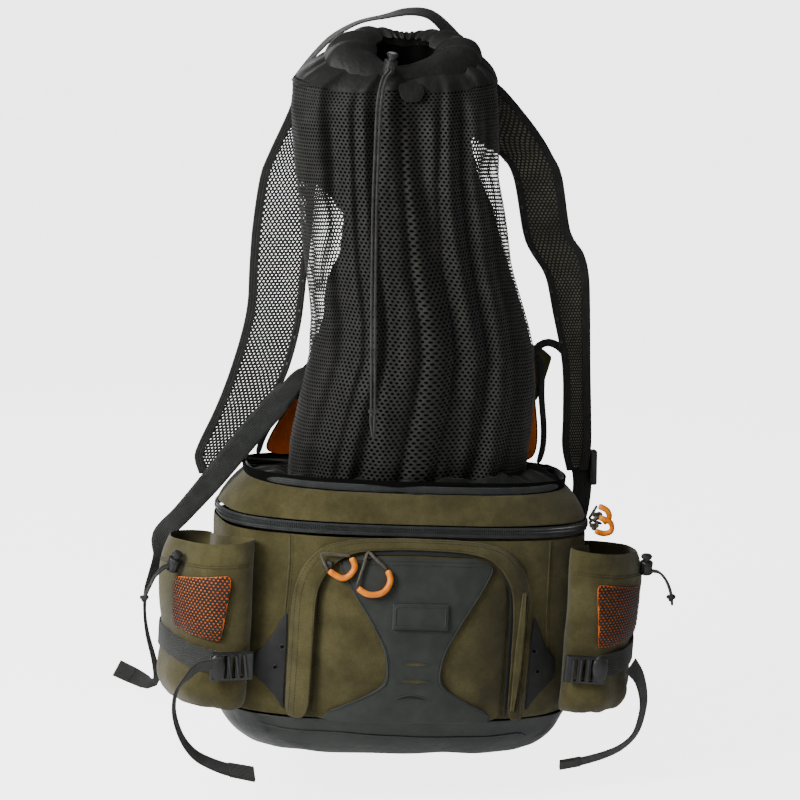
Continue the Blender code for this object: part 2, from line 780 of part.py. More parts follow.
def sack_ring(z, out, points=SACK_POINTS):
    """A ring of the sack, folds and all, moved outwards by out."""
    left, right, front, back, lean = sack_section(z)
    top, low = SACK[0][0], SACK[-1][0]
    down = (top - z) / (top - low)
    middle = (left + right) / 2
    half = (right - left) / 2
    ring = []
    for i in range(points):
        angle = 2 * math.pi * i / points
        c, s = math.cos(angle), math.sin(angle)
        u = math.copysign(abs(c) ** 0.85, c)
        v = math.copysign(abs(s) ** 0.85, s)
        inward = 0.0
        for a, b, width, depth, side in SACK_FOLDS:
            if s * side <= 0:
                continue
            away = (u - (a + (b - a) * down)) / width
            inward += depth * math.exp(-away * away) * min(1.0, down * 6 + 0.2)
        reach = (back if s > 0 else -front) + out - inward
        ring.append(Vector((middle + (half + out) * u, reach * v, z + lean * s)))
    return ring


def make_sack():
    heights = [row[0] for row in SACK]
    outer = [sack_ring(z, 0.0) for z in heights]
    inner = [sack_ring(z, -SACK_WALL) for z in reversed(heights)]
    loft("mesh_sack", "black", outer + inner, loop=True, upright=False)
    low = sack_ring(-504.0, 1.2)
    lower = sack_ring(-505.4, 1.2)
    rim = [tilt(p) for p in resample(body_ring(RIM_Z - 6.0, -CLOTH - 1.4), SACK_POINTS)]
    rim_low = [p + Vector((0, 0, -1.4)) for p in rim]
    loft("sack_skirt", "black", [low, rim, rim_low, lower], loop=True, upright=False)


def resample(ring, count):
    """The same ring with another number of points, starting from its first."""
    out = []
    for i in range(count):
        place = i * len(ring) / count
        a = ring[int(place) % len(ring)]
        b = ring[(int(place) + 1) % len(ring)]
        out.append(a.lerp(b, place - int(place)))
    return out


def make_collar():
    """The gathered collar: share of the outline, height above its lower edge, for one closed section."""
    section = [
        (1.00, 0.6), (0.98, 10.0), (0.86, 21.5), (0.66, 25.0), (0.46, 22.0), (0.34, 12.0),
        (0.37, 11.0), (0.48, 19.3), (0.66, 22.2), (0.83, 19.0), (0.95, 8.5), (0.97, 0.6),
    ]
    edge = sack_ring(SACK[0][0], 0.0)
    centre = Vector((6.0, 0.0, 0.0))
    rings = []
    for share, rise in section:
        ring = []
        for i, p in enumerate(edge):
            ruffle = (1 - abs(share - 0.68) * 2.2) * 0.035 * math.cos(i * math.pi * 2 / 3)
            turn = 2 * math.atan2(p.y, p.x)
            lobe = 1.0 + 0.25 * math.cos(turn) - 0.25 * max(0.0, math.sin(turn))
            q = centre + (Vector((p.x, p.y, 0)) - centre) * (share + ruffle)
            ring.append(Vector((q.x, q.y, p.z + rise * lobe * 0.85 + 0.4)))
        rings.append(ring)
    loft("sack_collar", "black", rings, loop=True, upright=False)


def make_straps():
    for table, label in ((STRAP_LEFT, "left"), (STRAP_RIGHT, "right")):
        low = []
        top = []
        for z, outer, inner, y in table:
            spots = [Vector((outer + (inner - outer) * c / 2, y, z)) for c in range(3)]
            low.append([p + Vector((0, -STRAP_THICK / 2, 0)) for p in spots])
            top.append([p + Vector((0, STRAP_THICK / 2, 0)) for p in spots])
        slab("shoulder_strap_" + label, "black", low, top, upright=False)
    ribbon("grab_handle", "webbing", turned_rows_handle(), WEB_THICK)


def turned_rows_handle():
    spots = [Vector(row[:3]) for row in HANDLE]
    rows = []
    for i, row in enumerate(HANDLE):
        ahead = (spots[min(i + 1, len(spots) - 1)] - spots[max(i - 1, 0)]).normalized()
        depth = Vector((0, 1, 0))
        depth = (depth - ahead * depth.dot(ahead)).normalized()
        flat = ahead.cross(depth)
        turn = math.radians(90.0 - row[3])
        rows.append((spots[i], (flat * math.cos(turn) + depth * math.sin(turn)) * row[4]))
    return rows


# Webbing of the left strap: x, depth, height, turn of the width towards the depth, width.
WEB_LEFT = [
    (-122.0, 3.5, -399.0, 0.0, 25.0),
    (-135.0, 2.0, -413.0, 0.0, 27.0),
    (-168.0, 0.6, -449.0, 0.0, 27.0),
    (-208.0, -5.4, -494.0, 0.0, 25.0),
    (-238.0, 10.0, -532.0, 0.0, 22.0),
    (-259.5, 31.0, -561.0, 0.0, 22.0),
    (-260.0, 33.0, -583.0, 20.0, 22.0),
    (-269.0, 34.0, -604.0, 50.0, 22.0),
    (-277.0, 36.0, -622.0, 70.0, 22.0),
    (-280.0, 37.0, -645.0, 80.0, 22.0),
    (-278.0, 37.0, -672.0, 80.0, 22.0),
    (-271.0, 37.0, -704.0, 76.0, 22.0),
    (-268.0, 38.0, -726.0, 60.0, 22.0),
    (-277.0, 38.0, -731.0, 30.0, 20.0),
    (-294.0, 38.0, -722.0, 10.0, 20.0),
    (-312.0, 38.0, -712.0, 0.0, 20.0),
]
WEB_RIGHT = [
    (214.0, 51.4, -490.0, 0.0, 22.0),
    (219.6, 51.5, -524.0, 0.0, 22.0),
    (216.0, 54.0, -560.0, -6.0, 22.0),
    (204.0, 57.5, -600.0, -16.0, 22.0),
    (189.0, 58.5, -638.0, -30.0, 22.0),
    (176.8, 56.9, -664.0, -39.0, 22.0),
]


def make_webbing():
    ribbon("strap_webbing_left", "webbing", turned_rows(WEB_LEFT), WEB_THICK)
    ribbon("strap_webbing_right", "webbing", turned_rows(WEB_RIGHT), WEB_THICK)
    ribbon("side_tail_left", "webbing", turned_rows(TAIL_LEFT), WEB_THICK)
    start = []
    for share in (0.24, 0.31):
        spot, normal = pocket_spot(share, BUCKLE_Z["right"] + 2.0, 4.7)
        start.append((tilt(spot), (1.5, 0.0, 22.0)))
    ribbon("side_tail_right", "webbing", start + turned_rows(TAIL_RIGHT), WEB_THICK)


def round_solid(name, kind, profile, centre, axis, sides=12):
    """A solid of revolution about an axis: profile rows of radius and height, ends closed."""
    axis = Vector(axis).normalized()
    turn = axis.to_track_quat("Z", "Y").to_matrix()
    rings = []
    for radius, height in profile:
        ring = []
        for i in range(sides):
            angle = 2 * math.pi * i / sides
            ring.append(turn @ Vector((radius * math.cos(angle), radius * math.sin(angle), height))
                        + Vector(centre))
        rings.append(ring)
    return loft(name, kind, rings, upright=False)


BUTTON_TRAVEL = 3.0


def lock_frame(centre, axis, across):
    """The middle of a cord lock's cross hole, the way through it and the way along its width."""
    axis = Vector(axis).normalized()
    across = Vector(across)
    across = (across - axis * across.dot(axis)).normalized()
    return Vector(centre) + axis * 4.2, across, across.cross(axis)


def cord_lock(label, centre, axis, across):
    """A barrel with a cross hole for the cord and a sprung button that slides into its bore."""
    barrel = [(6.0, 0.0), (7.0, 1.2), (7.0, 14.0), (6.4, 15.0), (4.4, 15.0), (4.4, 8.6)]
    item = round_solid(label + "_lock", "plastic", barrel, centre, axis)
    middle, through, side = lock_frame(centre, axis, across)
    turn = Matrix((side, through, Vector(axis).normalized())).transposed()
    made = bmesh.new()
    bmesh.ops.create_cube(made, size=1.0)
    bmesh.ops.scale(made, vec=Vector((7.6, 30.0, 4.2)), verts=made.verts[:])
    for v in made.verts:
        v.co = turn @ v.co + middle
    cutter = finish(label + "_hole", "plastic", made)
    boolean(item, cutter, "DIFFERENCE")
    button = [(3.9, 12.4), (3.9, 18.4), (5.6, 18.4), (5.9, 19.2), (5.9, 21.6), (5.0, 22.6)]
    round_solid(label + "_button", "plastic", button, centre, axis)


def threaded(frame, hanging, spread):
    """A cord through a lock and down to its tip, its two strands side by side."""
    middle, through, side = frame
    strands = []
    for sign in (1.0, -1.0):
        beside = side * 1.9 * sign
        near = [middle - through * 7.6 + beside, middle + beside, middle + through * 9.5 + beside]
        strands.append(near + [Vector(p) + Vector(spread) * sign for p in hanging[:-1]])
    return strands[0] + [Vector(hanging[-1])] + list(reversed(strands[1]))


SACK_LOCK = (-18.9, -38.7, -57.6)
SACK_LOCK_AXIS = (0.18, -0.25, 1.0)
LEFT_LOCK = (-258.7, -75.0, -574.0)
LEFT_LOCK_AXIS = (0.35, -0.25, 1.0)
RIGHT_LOCK = (262.7, -66.0, -604.0)
RIGHT_LOCK_AXIS = (0.0, -0.1, 1.0)


SACK_CORD = [
    (-28.0, -60.0, -64.0),
    (-33.0, -62.0, -90.0),
    (-36.3, -66.0, -140.0),
    (-39.6, -72.0, -200.0),
    (-42.7, -82.0, -300.0),
    (-44.0, -86.0, -400.0),
    (-44.5, -86.0, -420.0),
    (-43.5, -86.0, -436.0),
]
LEFT_CORD = [
    (-276.0, -84.0, -577.0),
    (-281.0, -84.0, -586.0),
    (-286.0, -84.0, -596.0),
    (-288.5, -84.0, -603.0),
]
RIGHT_CORD = [
    (277.0, -73.0, -602.0),
    (284.0, -74.0, -611.0),
    (289.0, -74.0, -624.0),
    (291.0, -74.0, -638.0),
]
LOCKS = [
    ("sack", SACK_LOCK, SACK_LOCK_AXIS, (-0.15, -1.0, 0.0), SACK_CORD, (-2.0, 0.0, 0.0), 10.0, "sack_cord"),
    ("pocket_left", LEFT_LOCK, LEFT_LOCK_AXIS, (-1.0, -0.45, 0.0), LEFT_CORD, (0.0, 2.0, 0.0), 8.0,
     "pocket_cord_left"),
    ("pocket_right", RIGHT_LOCK, RIGHT_LOCK_AXIS, (1.0, -0.45, 0.0), RIGHT_CORD, (0.0, -2.0, 0.0), 8.0,
     "pocket_cord_right"),
]


def make_locks():
    for label, centre, axis, across, hanging, spread, spacing, node in LOCKS:
        cord_lock(label, centre, axis, across)
        route = threaded(lock_frame(centre, axis, across), hanging, spread)
        cord(node, "black", route, 1.25, spacing)


# Pull loops: label, slider x, z and lift, points of the tube as x and z, all on the front of the pack.
FRONT_PULLS = [
    ("front_pull_1", (-103.0, -561.0, 15.4), ((-72.0, -563.0), (-67.0, -574.0), (-78.0, -586.0), (-94.0, -578.0))),
    ("front_pull_2", (-54.0, -558.0, 12.4), ((-34.0, -575.0), (-30.0, -585.0), (-38.0, -598.0), (-54.0, -600.0),
                                      (-64.0, -594.0))),
]
SIDE_PULLS = [
    ("side_pull_1", (206.0, -26.0, -534.5), ((211.0, -42.0, -516.0), (221.0, -44.0, -520.0),
                                             (225.0, -42.0, -530.0), (219.0, -38.0, -536.0))),
    ("side_pull_2", (204.8, -34.0, -536.5), ((209.0, -54.0, -526.0), (224.0, -56.0, -531.0),
                                             (226.0, -54.0, -541.0), (215.0, -52.0, -545.0),
                                             (206.0, -54.0, -541.0))),
]
TUBE_RADIUS = 3.7


def make_pulls():
    above = GAP + FRONT_WALL + PANEL_GAP + PANEL_THICK
    sets = []
    for label, slider, arc in FRONT_PULLS:
        spots = [skin(x, z, max(above + front_lift(x, z) + 5.0, 17.8)) for x, z in arc]
        start = skin(*slider)
        sets.append((label, start, spots))
    for label, slider, arc in SIDE_PULLS:
        sets.append((label, Vector(slider), [Vector(p) for p in arc]))
    for label, start, spots in sets:
        cord(label + "_tube", "tube", spots, TUBE_RADIUS, 7.0, upright=True, resolution=2)
        first = spots[0] + (spots[0] - spots[1]).normalized() * 1.5
        last = spots[-1] + (spots[-1] - spots[-2]).normalized() * 1.5
        cord(label + "_cord", "cord", [first, start.lerp(first, 0.35), start, start.lerp(last, 0.35), last],
             1.1, 5.0, upright=True)


# Hip belt seen from above, right half from the back panel round: x, depth.
BELT_WING = [(138.0, 88.3), (151.0, 104.0), (160.0, 131.0), (160.0, 165.0), (152.0, 195.0), (136.0, 222.0),
             (114.0, 245.0)]
BELT_WEB = [(117.0, 248.6), (96.0, 263.0), (70.0, 274.0), (44.0, 281.0), (34.0, 282.5)]
BELT_Z = -684.0
BELT_HEIGHT = 92.0
BELT_THICK = 8.0


def make_belt():
    for side, label in ((-1, "left"), (1, "right")):
        rows = []
        for i, (x, y) in enumerate(BELT_WING):
            height = BELT_HEIGHT - 5.5 * i
            rows.append((Vector((x * side, y, BELT_Z - 1.5 * i)), (0.0, 0.0, height)))
        ribbon("belt_wing_" + label, "black", rows, BELT_THICK, upright=True)
        rows = [(Vector((x * side, y, BELT_Z - 10.0)), (0.0, 0.0, 38.0)) for x, y in BELT_WEB]
        ribbon("belt_webbing_" + label, "webbing", rows, WEB_THICK, upright=True)
    turn = Matrix.Identity(3)
    box("belt_buckle_female", "plastic", (40.0, 9.0, 46.0), (-13.6, 283.0, BELT_Z - 10.0), turn, 2.5)
    box("belt_buckle_male", "plastic", (26.0, 9.0, 42.0), (20.0, 283.0, BELT_Z - 10.0), turn, 2.5)


# Tab sewn under the collar's front: height, half width, depth of its back face.
COLLAR_TAB = [
    (-65.8, 15.0, -38.6),
    (-74.0, 15.0, -46.4),
    (-82.0, 13.5, -48.8),
    (-87.0, 8.0, -50.2),
]


def make_small():
    turn = Matrix.Identity(3)
    low = []
    top = []
    for z, half, y in COLLAR_TAB:
        spots = [Vector((4.0 + half * c / 2, y, z)) for c in range(-2, 3)]
        low.append(spots)
        top.append([p + Vector((0, -1.4, 0)) for p in spots])
    slab("collar_tab", "black", low, top, upright=False)
    box("strap_lock_right", "plastic", (7.6, 12.0, 40.0), (230.0, 44.0, -506.0), turn, 2.0, upright=False)


make_body()
make_rim()
make_lid()
make_front()
make_badge()
make_pockets()
make_wings()
make_buckles()
make_side_straps()
make_sack()
make_collar()
make_straps()
make_webbing()
make_locks()
make_pulls()
make_belt()
make_small()
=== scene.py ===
# %% [markdown]
# # A hip pack with a net sack, hung by its handle
#
# The solids that were built first give every piece its place: the two-part body, the front pocket
# under its arch, the bottle pockets, the sack drawn up out of the open top, and the straps. This
# script dresses them. Cloth is rebuilt with its folds and seams, nets are cut through, webbing gets
# its ribs, and the hard little parts get their rims, bars and eyelets.
#
# Numbers in the tables are millimetres as the pack was drawn; `away` carries them into the frame.

# %% Load the frame
import math

import bpy
import numpy as np
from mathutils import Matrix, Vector
from mathutils.bvhtree import BVHTree


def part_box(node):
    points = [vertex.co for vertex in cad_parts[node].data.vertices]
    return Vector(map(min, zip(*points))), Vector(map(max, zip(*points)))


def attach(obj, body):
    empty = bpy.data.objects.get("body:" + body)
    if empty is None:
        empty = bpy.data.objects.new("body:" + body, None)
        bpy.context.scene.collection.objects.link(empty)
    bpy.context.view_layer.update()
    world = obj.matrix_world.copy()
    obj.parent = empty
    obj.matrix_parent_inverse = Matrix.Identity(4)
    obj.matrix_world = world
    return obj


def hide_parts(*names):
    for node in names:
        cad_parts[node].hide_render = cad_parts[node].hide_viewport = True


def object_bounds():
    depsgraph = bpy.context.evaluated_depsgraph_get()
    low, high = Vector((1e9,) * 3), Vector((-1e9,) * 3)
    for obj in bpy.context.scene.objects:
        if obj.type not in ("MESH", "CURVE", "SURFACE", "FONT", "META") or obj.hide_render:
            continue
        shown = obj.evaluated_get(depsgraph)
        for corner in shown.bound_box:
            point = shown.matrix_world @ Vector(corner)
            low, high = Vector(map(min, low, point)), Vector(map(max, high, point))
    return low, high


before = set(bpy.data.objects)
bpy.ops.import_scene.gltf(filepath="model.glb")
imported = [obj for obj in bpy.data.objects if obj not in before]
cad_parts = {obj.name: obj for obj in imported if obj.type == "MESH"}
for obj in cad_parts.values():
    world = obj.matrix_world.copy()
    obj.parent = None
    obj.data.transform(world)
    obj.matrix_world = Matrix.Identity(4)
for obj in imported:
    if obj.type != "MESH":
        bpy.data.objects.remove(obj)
start_box = [list(corner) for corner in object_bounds()]
bpy.ops.object.select_all(action="DESELECT")
print("pieces in the frame:", len(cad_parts))

# %% Units and the way from the drawing to the frame
MM = 0.001
SIDES = {"left": -1.0, "right": 1.0}
HOOK = np.array([12.0, 40.0, 3.2])
LEAN = math.radians(4.0)
LEAN_HEIGHT = -640.0
LEAN_SHIFT = -5.0


def away(points):
    """Places of the drawing, in millimetres, carried into the frame, in metres."""
    return (np.asarray(points, float) - HOOK) * MM


def leaned(points):
    """Places of the upright body, leaned to one side as it hangs."""
    p = np.asarray(points, float)
    x, z = p[..., 0], p[..., 2] - LEAN_HEIGHT
    c, s = math.cos(LEAN), math.sin(LEAN)
    return np.stack([c * x + s * z + LEAN_SHIFT, p[..., 1], c * z - s * x + LEAN_HEIGHT], axis=-1)


def smooth_rows(rows, spacing):
    """A smooth curve through rows whose first three columns are a place; the others go along."""
    rows = np.asarray(rows, float)
    ends = np.vstack([2 * rows[0] - rows[1], rows, 2 * rows[-1] - rows[-2]])
    out = []
    for a, b, c, d in zip(ends, ends[1:], ends[2:], ends[3:]):
        steps = max(1, round(np.linalg.norm((c - b)[:3]) / spacing))
        for t in np.arange(steps) / steps:
            out.append(0.5 * (2 * b + (c - a) * t + (2 * a - 5 * b + 4 * c - d) * t * t
                              + (3 * b - a - 3 * c + d) * t ** 3))
    out.append(rows[-1])
    return np.array(out)


def drawn_box(node):
    """The two corners of a solid's box, in the drawing's millimetres."""
    return [np.array(corner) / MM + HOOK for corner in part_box(node)]


print("the hook bears at", away(HOOK))

# %% [markdown]
# ## Camera
#
# The photo was taken from a little above and a little to the left of the front, with a long lens,
# so upright edges stay nearly parallel.

# %% Camera
TURN = math.radians(-10.0)
RAISE = math.radians(10.5)
DISTANCE = 2.6
AIM = Vector(away((0.0, 0.0, -413.2)))
LENS = 107.1


def look_at(item, target):
    """Turns a camera or a lamp to face a point."""
    item.rotation_euler = (target - item.location).to_track_quat("-Z", "Y").to_euler()


def from_side(turn, lift, distance):
    """A point at a turn from the front, a height angle and a distance from the aim."""
    flat = math.cos(lift)
    return AIM + Vector((math.sin(turn) * flat, -math.cos(turn) * flat, math.sin(lift))) * distance


camera_data = bpy.data.cameras.new("camera")
camera_data.lens = LENS
camera_data.sensor_width = 36.0
camera = bpy.data.objects.new("camera", camera_data)
bpy.context.scene.collection.objects.link(camera)
camera.location = from_side(TURN, RAISE, DISTANCE)
look_at(camera, AIM)
bpy.context.scene.camera = camera
print("camera at", [round(v, 3) for v in camera.location])

# %% [markdown]
# ## The drawcords
#
# Three cords hang free: the sack's long one, and a short one at each bottle pocket. Each is one cord
# that goes through its lock, down, round and back, so its two strands lie side by side. They follow
# the routes of the solids that stand for them, and end in a knot.

# %% The three cords
# For each lock: its centre, its axis, the way of its cross hole, how far the strands spread, and the
# cord's places below it.
CORD_RADIUS = 1.45
CORD_LOCKS = {
    "sack": ((-18.9, -38.7, -57.6), (0.18, -0.25, 1.0), (-0.15, -1.0, 0.0), (-2.0, 0.0, 0.0), [
        (-28.0, -60.0, -64.0), (-33.0, -62.0, -90.0), (-36.3, -66.0, -140.0), (-39.6, -72.0, -200.0),
        (-42.7, -82.0, -300.0), (-44.0, -86.0, -400.0), (-44.5, -86.0, -420.0),
        (-43.5, -86.0, -436.0)]),
    "pocket_left": ((-258.7, -75.0, -574.0), (0.35, -0.25, 1.0), (-1.0, -0.45, 0.0), (0.0, 2.0, 0.0), [
        (-276.0, -84.0, -577.0), (-281.0, -84.0, -586.0), (-286.0, -84.0, -596.0),
        (-288.5, -84.0, -603.0)]),
    "pocket_right": ((262.7, -66.0, -604.0), (0.0, -0.1, 1.0), (1.0, -0.45, 0.0), (0.0, -2.0, 0.0), [
        (277.0, -73.0, -602.0), (284.0, -74.0, -611.0), (289.0, -74.0, -624.0),
        (291.0, -74.0, -638.0)]),
}
HOLE_HEIGHT = 4.2
STRAND_APART = 1.9
CORD_BEFORE, CORD_PAST = 7.6, 9.5


def unit(vector):
    """The same way, one long."""
    vector = np.asarray(vector, float)
    return vector / np.linalg.norm(vector)


def lock_frame(centre, axis, across):
    """The middle of a lock's cross hole, the way through it and the way along its width."""
    axis = unit(axis)
    through = unit(np.asarray(across) - axis * np.dot(across, axis))
    return np.asarray(centre) + axis * HOLE_HEIGHT, through, np.cross(through, axis)


def cord_route(label):
    """Both strands of a drawcord, from the lock down to the tip and back."""
    centre, axis, across, spread, hanging = CORD_LOCKS[label]
    middle, through, side = lock_frame(centre, axis, across)
    strands = []
    for sign in (1.0, -1.0):
        beside = middle + side * STRAND_APART * sign
        near = [beside - through * CORD_BEFORE, beside, beside + through * CORD_PAST]
        strands.append(near + [np.array(p) + np.array(spread) * sign for p in hanging[:-1]])
    return np.array(strands[0] + [np.array(hanging[-1])] + strands[1][::-1])


def round_line(name, points, radius, caps=True, resolution=3):
    """A round cord or tube on a curve, through points in metres."""
    curve = bpy.data.curves.new(name, "CURVE")
    curve.dimensions = "3D"
    curve.bevel_depth = radius * MM
    curve.bevel_resolution = resolution
    curve.use_fill_caps = caps
    line = curve.splines.new("POLY")
    line.points.add(len(points) - 1)
    line.points.foreach_set("co", np.hstack([points, np.ones((len(points), 1))]).ravel())
    line.use_smooth = True
    item = bpy.data.objects.new(name, curve)
    bpy.context.scene.collection.objects.link(item)
    return item


def knot_line(name, spot, radius, cord_radius):
    """An overhand knot: one cord wound twice round itself in a tight trefoil."""
    ring = np.linspace(0.0, 2 * math.pi, 72)
    x = np.sin(ring) + 2 * np.sin(2 * ring)
    y = np.cos(ring) - 2 * np.cos(2 * ring)
    z = -np.sin(3 * ring)
    path = np.stack([x, z * 0.8, y * 0.8], axis=-1) / 3.0 * radius
    return round_line(name, away(np.asarray(spot) + path), cord_radius, caps=False)


KNOTS = {"sack": ((-44.3, -86.0, -409.0), 3.9), "pocket_left": ((-288.0, -84.0, -600.5), 3.8),
         "pocket_right": ((289.5, -74.0, -630.0), 4.2)}
drawcords, cord_knots = {}, []
for label, node, spacing in (("sack", "sack_cord", 6.0), ("pocket_left", "pocket_cord_left", 2.5),
                             ("pocket_right", "pocket_cord_right", 2.5)):
    route = away(smooth_rows(cord_route(label), spacing))
    length = float(np.linalg.norm(np.diff(route, axis=0), axis=1).sum())
    cord = round_line(label + "_drawcord", route, CORD_RADIUS)
    knot = knot_line(label + "_cord_knot", *KNOTS[label], CORD_RADIUS)
    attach(knot, "pack")
    cord_knots.append(knot)
    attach(cord, "pack")
    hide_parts(node)
    drawcords[label] = cord
    print(label, "cord", round(length, 3), "m")

# %% [markdown]
# ## Light and floor
#
# Large soft lamps give the even light of a studio. The key lamp stands to the left, a weaker one
# nearer the front, one above, and one behind on the left lights the rims. The floor is a wide pale
# plane under the pack.

# %% Lamps
# Name, turn from the front and height angle in degrees, distance, size and power.
LAMPS = [
    ("key_lamp", -56.0, 26.0, 1.5, 0.7, 27.0),
    ("front_lamp", -30.0, 20.0, 2.8, 1.6, 8.0),
    ("top_lamp", -40.0, 72.0, 2.4, 1.6, 9.0),
    ("rim_lamp", -160.0, 30.0, 2.4, 1.4, 20.0),
]
for name, turn, lift, distance, size, power in LAMPS:
    lamp_data = bpy.data.lights.new(name, "AREA")
    lamp_data.shape = "DISK"
    lamp_data.size = size
    lamp_data.energy = power
    lamp = bpy.data.objects.new(name, lamp_data)
    bpy.context.scene.collection.objects.link(lamp)
    lamp.location = from_side(math.radians(turn), math.radians(lift), distance)
    look_at(lamp, AIM)
AMBIENT, BACKDROP = 0.14, 6.0
world = bpy.data.worlds.new("studio")
bpy.context.scene.world = world
world.use_nodes = True
sky = world.node_tree.nodes["Background"]
sky.inputs["Color"].default_value = (1.0, 1.0, 1.0, 1.0)
sky.inputs["Strength"].default_value = AMBIENT
backdrop = world.node_tree.nodes.new("ShaderNodeBackground")
backdrop.inputs["Color"].default_value = (1.0, 1.0, 1.0, 1.0)
backdrop.inputs["Strength"].default_value = BACKDROP
who_looks = world.node_tree.nodes.new("ShaderNodeLightPath")
chooser = world.node_tree.nodes.new("ShaderNodeMixShader")
links = world.node_tree.links
links.new(who_looks.outputs["Is Camera Ray"], chooser.inputs[0])
links.new(sky.outputs[0], chooser.inputs[1])
links.new(backdrop.outputs[0], chooser.inputs[2])
links.new(chooser.outputs[0], world.node_tree.nodes["World Output"].inputs["Surface"])
print("lamps:", len(LAMPS))

# %% Floor
# The glow is low as the pack sees it and high as the camera does, so the floor looks white.
FLOOR_DROP, FLOOR_SIZE = 0.02, 120.0
FLOOR_GLOW = (0.10, 3.6)
floor_height = start_box[0][2] - FLOOR_DROP
bpy.ops.mesh.primitive_plane_add(size=FLOOR_SIZE, location=(0.0, 0.0, floor_height))
floor = bpy.context.object
floor.name = "floor"
floor_paint = bpy.data.materials.new("pale_floor")
floor_paint.use_nodes = True
floor_shader = floor_paint.node_tree.nodes["Principled BSDF"]
floor_shader.inputs["Base Color"].default_value = (0.90, 0.90, 0.90, 1.0)
floor_shader.inputs["Roughness"].default_value = 0.9
floor_shader.inputs["Specular IOR Level"].default_value = 0.1
floor_shader.inputs["Emission Color"].default_value = (1.0, 1.0, 1.0, 1.0)
floor_look = floor_paint.node_tree.nodes.new("ShaderNodeLightPath")
floor_glow = floor_paint.node_tree.nodes.new("ShaderNodeMapRange")
floor_glow.inputs["To Min"].default_value = FLOOR_GLOW[0]
floor_glow.inputs["To Max"].default_value = FLOOR_GLOW[1]
floor_paint.node_tree.links.new(floor_look.outputs["Is Camera Ray"], floor_glow.inputs["Value"])
floor_paint.node_tree.links.new(floor_glow.outputs["Result"], floor_shader.inputs["Emission Strength"])
floor.data.materials.append(floor_paint)
print("floor at", round(floor_height, 3))

# %% [markdown]
# ## Finishes
#
# A finish is a small set of nodes: a coordinate, one or two patterns, a colour ramp for the colour's
# drift, and a bump. `pattern_finish` builds what they all share, so that each cloth only states its
# own colours, the size of its grain and how deep it is. Woven bands read the UV map that runs along
# them; all else reads Object coordinates, in metres, so a scale of 400 repeats every 2.5 mm.

# %% The shared recipe
def wire(paint, kind, **settings):
    """Adds a node; settings name its attributes or, with spaces written as _, its sockets."""
    made = paint.node_tree.nodes.new(kind)
    for key, value in settings.items():
        label = key.replace("_", " ")
        if hasattr(made, key):
            setattr(made, key, value)
        else:
            made.inputs[label].default_value = value
    return made


def join(paint, start, end):
    """Links one socket to another."""
    paint.node_tree.links.new(start, end)


def pattern(paint, place, kind, **settings):
    """A noise, cell or wave texture that reads a coordinate."""
    made = wire(paint, "ShaderNodeTex" + kind, **settings)
    join(paint, place, made.inputs["Vector"])
    return made


def ramp(paint, source, colours, low=0.35, high=0.65):
    """Spreads two or three colours over the values of a pattern."""
    made = wire(paint, "ShaderNodeValToRGB")
    stops = made.color_ramp.elements
    stops[0].position = low
    stops[1].position = high
    stops[0].color = (*colours[0], 1.0)
    stops[1].color = (*colours[-1], 1.0)
    if len(colours) == 3:
        middle = stops.new((low + high) / 2)
        middle.color = (*colours[1], 1.0)
    join(paint, source, made.inputs["Fac"])
    return made.outputs["Color"]


def pattern_finish(name, colours, roughness, drift, grain, depth, sheen=0.0, specular=0.5, uv=False):
    """Colour drifting over a noise, and a finer noise in the bump; gives paint, shader and place."""
    paint = bpy.data.materials.new(name)
    paint.use_nodes = True
    shader = paint.node_tree.nodes["Principled BSDF"]
    shader.inputs["Roughness"].default_value = roughness
    shader.inputs["Specular IOR Level"].default_value = specular
    shader.inputs["Sheen Weight"].default_value = sheen
    shader.inputs["Sheen Roughness"].default_value = 0.5
    place = wire(paint, "ShaderNodeTexCoord").outputs["UV" if uv else "Object"]
    wide = pattern(paint, place, "Noise", Scale=drift, Detail=6.0, Roughness=0.62)
    fine = pattern(paint, place, "Noise", Scale=grain, Detail=3.0, Roughness=0.6)
    join(paint, ramp(paint, wide.outputs["Fac"], colours), shader.inputs["Base Color"])
    bump = wire(paint, "ShaderNodeBump", Strength=depth, Distance=0.0006)
    join(paint, fine.outputs["Fac"], bump.inputs["Height"])
    join(paint, bump.outputs["Normal"], shader.inputs["Normal"])
    return paint, shader, place


def plain_finish(*settings, **more):
    """A finish with nothing laid over the shared recipe."""
    return pattern_finish(*settings, **more)[0]


def over_colour(paint, shader, value, strength, kind="MULTIPLY", colours=((0.6,) * 3, (1.3,) * 3)):
    """Lays a pattern over the colour that the shader already has."""
    mixer = wire(paint, "ShaderNodeMix", data_type="RGBA", blend_type=kind)
    mixer.inputs["Factor"].default_value = strength
    old = shader.inputs["Base Color"].links[0].from_socket
    join(paint, old, mixer.inputs["A"])
    join(paint, ramp(paint, value, colours, 0.2, 0.8), mixer.inputs["B"])
    join(paint, mixer.outputs["Result"], shader.inputs["Base Color"])


def stack_bump(paint, shader, value, strength, distance):
    """Adds another bump on top of the shader's last one."""
    last = shader.inputs["Normal"].links[0].from_socket
    bump = wire(paint, "ShaderNodeBump", Strength=strength, Distance=distance)
    join(paint, value, bump.inputs["Height"])
    join(paint, last, bump.inputs["Normal"])
    join(paint, bump.outputs["Normal"], shader.inputs["Normal"])


print("recipe ready")

# %% [markdown]
# ### Brushed olive cloth
#
# The body's cloth has a short nap like suede. Brushed nap shows as cloudy patches a few centimetres
# across, with a speckle under a millimetre, and it has no gloss, only a faint sheen at its edges.

